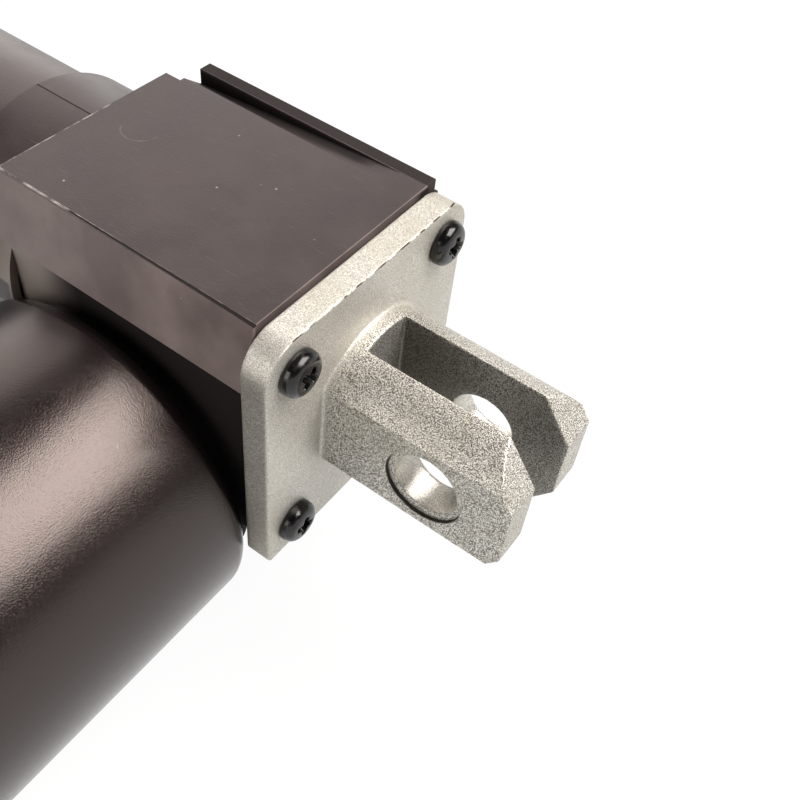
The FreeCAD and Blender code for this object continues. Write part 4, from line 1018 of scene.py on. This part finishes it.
@dataclass
class RearClevis(CastClevis):
    """The cast rear clevis, its four screws and the gasket behind it."""

    face_x_mm: float = 17.5
    screw_off_mm: float = 16.7
    screw_voxel_mm: float = 0.11
    screw_passes: int = 4
    head_radius_mm: float = 3.5
    head_height_mm: float = 2.4
    # The crown as (depth, radius); the shoulder as an arc; the rim as (height, inset) over the plate.
    crown_mm: tuple[Pair, ...] = ((0.0, 0.0), (0.03, 1.0), (0.11, 1.75))
    shoulder_steps: int = 6
    shoulder_degrees: Pair = (20, 70)
    shoulder_centre_mm: Pair = (1.55, 1.6)
    shoulder_radii_mm: Pair = (1.4, 1.55)
    rim_mm: tuple[Pair, ...] = ((0.5, 0.0), (0.1, 0.03), (0.0, 0.2))
    shank_radius_mm: float = 1.7
    shank_end_mm: float = 32.5
    tip_mm: Pair = (1.0, 0.7)
    wing_span_mm: float = 4.1
    wing_width_mm: float = 0.95
    # Of a wing's width, the share that narrows with the recess.
    wing_taper: float = 0.3
    heel_share: float = 1.5
    recess_above_mm: float = 1.0
    recess_depth_mm: float = 1.6
    recess_scales: Pair = (1.12, 0.55)
    turns: int = 48

    def head_profile(self) -> list[Pair]:
        """Gives the outline of one screw from the crown to the tip.

        Returns:
            (distance along the screw, radius) pairs in millimetres, from 0 at the crown.
        """
        height, radius, shank = self.head_height_mm, self.head_radius_mm, self.shank_radius_mm
        outline = list(self.crown_mm)
        first, sweep = self.shoulder_degrees
        depth, inset = self.shoulder_centre_mm
        deep, wide = self.shoulder_radii_mm
        for step in range(self.shoulder_steps + 1):
            angle = math.radians(first + sweep * step / self.shoulder_steps)
            outline.append((depth - deep * math.cos(angle), radius - inset + wide * math.sin(angle)))
        outline += [(height - over, radius - inside) for over, inside in self.rim_mm]
        length = height + self.shank_end_mm - self.face_x_mm
        outline += [(height, shank), (length - self.tip_mm[0], shank), (length, shank - self.tip_mm[1]),
                    (length, 0.0)]
        return outline

    def recess(self, y_mm: float, z_mm: float, turn: float) -> bmesh.types.BMesh:
        """Makes the tapered cross that the driver fits.

        Args:
            y_mm: the screw's place across the plate.
            z_mm: the screw's height on the plate.
            turn: how far the cross is turned.

        Returns:
            A closed mesh of one cross-shaped prism that narrows inwards.
        """
        made = bmesh.new()
        start = self.face_x_mm - self.head_height_mm
        loops = []
        layers = (start - self.recess_above_mm, start + self.recess_depth_mm)
        for x_mm, scale in zip(layers, self.recess_scales):
            tip = self.wing_span_mm / 2 * scale
            side = self.wing_width_mm / 2 * (1 - self.wing_taper + self.wing_taper * scale)
            heel = side * self.heel_share
            corner = [(tip, -side), (tip, side), (heel, heel)]
            loop = []
            for quarter in range(4):
                angle = turn + quarter * math.pi / 2
                for along, off in corner:
                    y = along * math.cos(angle) - off * math.sin(angle)
                    z = along * math.sin(angle) + off * math.cos(angle)
                    loop.append(made.verts.new((x_mm, y_mm + y, z_mm + z)))
            loops.append(loop)
        made.faces.new(loops[0][::-1])
        made.faces.new(loops[1])
        for i in range(len(loops[0])):
            j = (i + 1) % len(loops[0])
            made.faces.new((loops[0][i], loops[0][j], loops[1][j], loops[1][i]))
        return made

    def screw(self, name: str, y_mm: float, z_mm: float, cross: Cross) -> Piece:
        """Makes one cross-recess screw.

        Args:
            name: the piece's name.
            y_mm: its place across the plate.
            z_mm: its height on the plate.
            cross: how its recess stands.

        Returns:
            The new piece.
        """
        turned = lathe(self.head_profile(), self.turns)
        start = self.face_x_mm - self.head_height_mm
        bmesh.ops.translate(turned, vec=(start, y_mm, z_mm), verts=turned.verts)
        piece = to_piece(turned, name)
        cutter = to_piece(self.recess(y_mm, z_mm, math.radians(cross.value)), f"{name}_recess")
        bite(piece, cutter)
        even_out(piece, self.screw_voxel_mm, self.screw_passes)
        settle(piece)
        bpy.data.objects.remove(cutter)
        coat(piece, BLACK_OXIDE)
        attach(piece, "housing")
        log.info("%s made", piece.name)
        return piece

    def build(self) -> None:
        """Makes the casting and screws, and dresses the gasket."""
        piece = self.casting("rear_clevis", "rear_clevis_casting")
        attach(piece, "housing")
        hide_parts("rear_clevis")
        off = self.screw_off_mm
        corners = {"motor_top": (off, off, Cross.LEANING), "far_top": (-off, off, Cross.UPRIGHT),
                   "motor_low": (off, -off, Cross.TIPPED), "far_low": (-off, -off, Cross.DIAGONAL)}
        screws = [self.screw(f"flange_screw_{name}", *place) for name, place in corners.items()]
        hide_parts("rear_clevis_screws")
        dress({"rear_gasket": RUBBER})


@dataclass
class GearHousing:
    """The two moulded halves of the gear housing with their screws."""

    edge_mm: float = 0.14

    def build(self) -> None:
        """Rounds the moulded edges and dresses both halves."""
        for node in ("far_side_housing", "motor_side_housing"):
            soften(node, self.edge_mm)
            dress({node: NYLON})
        dress({"housing_screws": BLACK_OXIDE})


@dataclass
class Motor:
    """The motor's case with what is fixed in it."""

    edge_mm: float = 0.5

    def build(self) -> None:
        """Dresses the can, its end cap and the fixed pieces inside."""
        for node in ("motor_can", "motor_end_cap"):
            soften(node, self.edge_mm)
            dress({node: CAN_ENAMEL})
        dress({"motor_gasket": RUBBER, "cable_grommet": RUBBER, "motor_bolts": BLACK_OXIDE,
               "motor_magnets": FERRITE, "motor_front_bush": BRONZE_Y, "motor_rear_bush": BRONZE_Y,
               "worm_end_bush": BRONZE_Y, "brush_holder": LAMINATE, "carbon_brushes": CARBON,
               "brush_springs": STEEL_Y})


@dataclass
class Rotor:
    """The armature and worm on the motor shaft."""

    def build(self) -> None:
        """Dresses the turning pieces of the motor."""
        dress({"motor_shaft": STEEL_Y, "worm": STEEL_Y, "armature_core": LAMINATION,
               "armature_windings": WINDING, "commutator": COMMUTATOR})


@dataclass
class Spindle:
    """The lead screw with its worm wheel and bearings."""

    def build(self) -> None:
        """Dresses the spindle and the pieces of both bearings."""
        dress({"lead_screw": STEEL_X, "worm_wheel": BRONZE_X, "wheel_key": STEEL_X,
               "spacer_sleeve": STEEL_X, "spindle_lock_nut": STEEL_X})
        for end in ("rear", "front"):
            dress({f"{end}_bearing_outer_ring": STEEL_X, f"{end}_bearing_inner_ring": STEEL_X,
                   f"{end}_bearing_balls": BALL_STEEL})


@dataclass
class OuterTube:
    """The outer tube, its front cap and the limit switches inside."""

    edge_mm: float = 0.5

    def build(self) -> None:
        """Dresses the tube, the cap and the switches."""
        soften("outer_tube", self.edge_mm)
        soften("front_cap", self.edge_mm)
        dress({"outer_tube": TUBE_ENAMEL, "front_cap": NYLON, "cap_screws": BLACK_OXIDE,
               "bearing_retainer": STEEL_X, "guide_bush": ACETAL, "wiper_seal": RUBBER,
               "switch_carrier": LAMINATE})
        for end in ("rear", "front"):
            dress({f"{end}_limit_switch": SWITCH_BODY, f"{end}_switch_plunger": PLUNGER})


@dataclass
class Rod(CastClevis):
    """The chromed rod with its cast end and its nut."""

    voxel_mm: float = 0.3
    passes: int = 4
    bore: PinBore = field(default_factory=lambda: PinBore(x_mm=279.5))

    def build(self) -> None:
        """Makes the cast rod end and dresses the rod and nut."""
        piece = self.casting("rod_end", "rod_end_casting")
        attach(piece, "rod")
        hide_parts("rod_end")
        dress({"rod_tube": CHROME, "rod_end_pin": STEEL_Y, "drive_nut": ACETAL, "nut_pins": STEEL_X})


@dataclass(frozen=True)
class Softbox:
    """One square soft light, with its direction from the part and its distance and width in metres."""

    name: str
    way: Place
    distance: float
    size: float
    watts: float


@dataclass
class Studio:
    """The floor, the room, the soft lights and the camera."""

    floor_gap_mm: float = 0.2
    floor_radius: float = 4.0
    floor_matte: str = "#a0a0a0"
    glow_share: float = 0.94
    centre_mm: Place = (35.0, 30.0, 0.0)
    lamp_tint: str = "#fffaf6"
    softboxes: tuple[Softbox, ...] = (Softbox("key_softbox", (-0.46, -0.32, 0.82), 0.8, 0.62, 12.5),
                                      Softbox("fill_softbox", (0.74, -0.5, 0.44), 0.9, 1.0, 6.6),
                                      Softbox("side_softbox", (0.33, 0.88, 0.33), 0.9, 0.5, 2.6))
    sky: str = "#161616"
    wall: str = "#8a8a8a"
    # Both by the direction of view, from -1 to 1 on each axis.
    pale_walls: Region = Region(x=(-0.35, 1.0, 0.5), z=(-1.0, 0.3, 0.3))
    paper_horizon: Region = Region(z=(-1.0, 0.14, 0.08))
    lens_mm: float = 45.2026
    sensor_mm: float = 36.0
    clip_start: float = 0.005
    eye_mm: Place = (-36.518, 83.537, 111.747)
    right: Place = (-0.80762306, -0.58286922, 0.08949003)
    up: Place = (0.49133536, -0.58119814, 0.64868967)
    back: Place = (-0.3260898, 0.56786635, 0.75577328)

    def shown(self, tree: Tree) -> Socket:
        """Marks the rays that show the white paper: the camera's own, and those off metal or through glass.

        Args:
            tree: the node tree.

        Returns:
            The socket of the mask.
        """
        ray = add(tree, "LightPath")
        kinds = ("Is Camera Ray", "Is Glossy Ray", "Is Transmission Ray")
        return joined(tree, Join.ANY, *[ray.outputs[kind] for kind in kinds])

    def lamp(self, box: Softbox) -> None:
        """Hangs one softbox so that it faces the part.

        Args:
            box: the softbox.
        """
        light = bpy.data.lights.new(box.name, "AREA")
        light.shape = "SQUARE"
        light.size = box.size
        light.energy = box.watts
        light.color = linear(self.lamp_tint)[:3]
        hung = bpy.data.objects.new(box.name, light)
        aim = Vector(box.way).normalized()
        hung.location = Vector(self.centre_mm) * MM + aim * box.distance
        hung.rotation_euler = aim.to_track_quat("Z", "Y").to_euler()
        hung.visible_camera = False
        bpy.context.scene.collection.objects.link(hung)

    def floor(self) -> None:
        """Lays the floor, white to the camera and in reflections, which keeps a faint shadow."""
        made = bmesh.new()
        bmesh.ops.create_circle(made, cap_ends=True, segments=96, radius=self.floor_radius)
        mesh = bpy.data.meshes.new("studio_floor")
        made.to_mesh(mesh)
        made.free()
        sheet = bpy.data.objects.new("studio_floor", mesh)
        sheet.location.z = CAD_BOX[0][2] - self.floor_gap_mm * MM
        bpy.context.scene.collection.objects.link(sheet)
        paper = bpy.data.materials.new("white_paper_sweep")
        paper.use_nodes = True
        tree = paper.node_tree
        tree.nodes.clear()
        bounce = add(tree, "BsdfDiffuse", {"Color": linear(self.floor_matte)})
        matte = add(tree, "BsdfDiffuse", {"Color": linear(WHITE)})
        glow = add(tree, "Emission", {"Color": linear(WHITE), "Strength": 1.0})
        white = add(tree, "MixShader", {0: self.glow_share, 1: matte.outputs[0], 2: glow.outputs[0]})
        mixed = add(tree, "MixShader", {0: self.shown(tree), 1: bounce.outputs[0], 2: white.outputs[0]})
        add(tree, "OutputMaterial", {"Surface": mixed.outputs[0]})
        mesh.materials.append(paper)

    def world(self) -> None:
        """Stands the part in a dim room with pale walls low down and a white paper horizon all round."""
        room = bpy.data.worlds.new("studio_room")
        room.use_nodes = True
        tree = room.node_tree
        tree.nodes.clear()
        way = add(tree, "SeparateXYZ", {0: add(tree, "TexCoord").outputs["Generated"]})
        paper = joined(tree, Join.ALL, self.shown(tree), self.paper_horizon.mask(tree, way))
        walls = self.pale_walls.mask(tree, way)
        colour = layered(tree, linear(self.sky), (walls, self.wall), (paper, WHITE))
        sky = add(tree, "Background", {"Color": colour, "Strength": 1.0})
        add(tree, "OutputWorld", {"Surface": sky.outputs[0]})
        bpy.context.scene.world = room

    def camera(self) -> None:
        """Places the camera at the photograph's view."""
        lens = bpy.data.cameras.new("studio_camera")
        lens.lens = self.lens_mm
        lens.sensor_width = self.sensor_mm
        lens.clip_start = self.clip_start
        held = bpy.data.objects.new("studio_camera", lens)
        turn = Matrix((self.right, self.up, self.back)).transposed().to_4x4()
        held.matrix_world = Matrix.Translation(Vector(self.eye_mm) * MM) @ turn
        bpy.context.scene.collection.objects.link(held)
        bpy.context.scene.camera = held

    def build(self) -> None:
        """Sets up the whole studio."""
        self.floor()
        self.world()
        for box in self.softboxes:
            self.lamp(box)
        self.camera()
        bpy.context.scene.view_settings.view_transform = "Standard"


def main() -> None:
    """Builds the studio and each sub-assembly."""
    logging.basicConfig(level=logging.INFO, format="%(name)s: %(message)s")
    for assembly in (Studio(), RearClevis(), GearHousing(), Motor(), Rotor(), Spindle(), OuterTube(), Rod()):
        log.info("building %s", type(assembly).__name__)
        assembly.build()


if __name__ == "__main__":
    main()
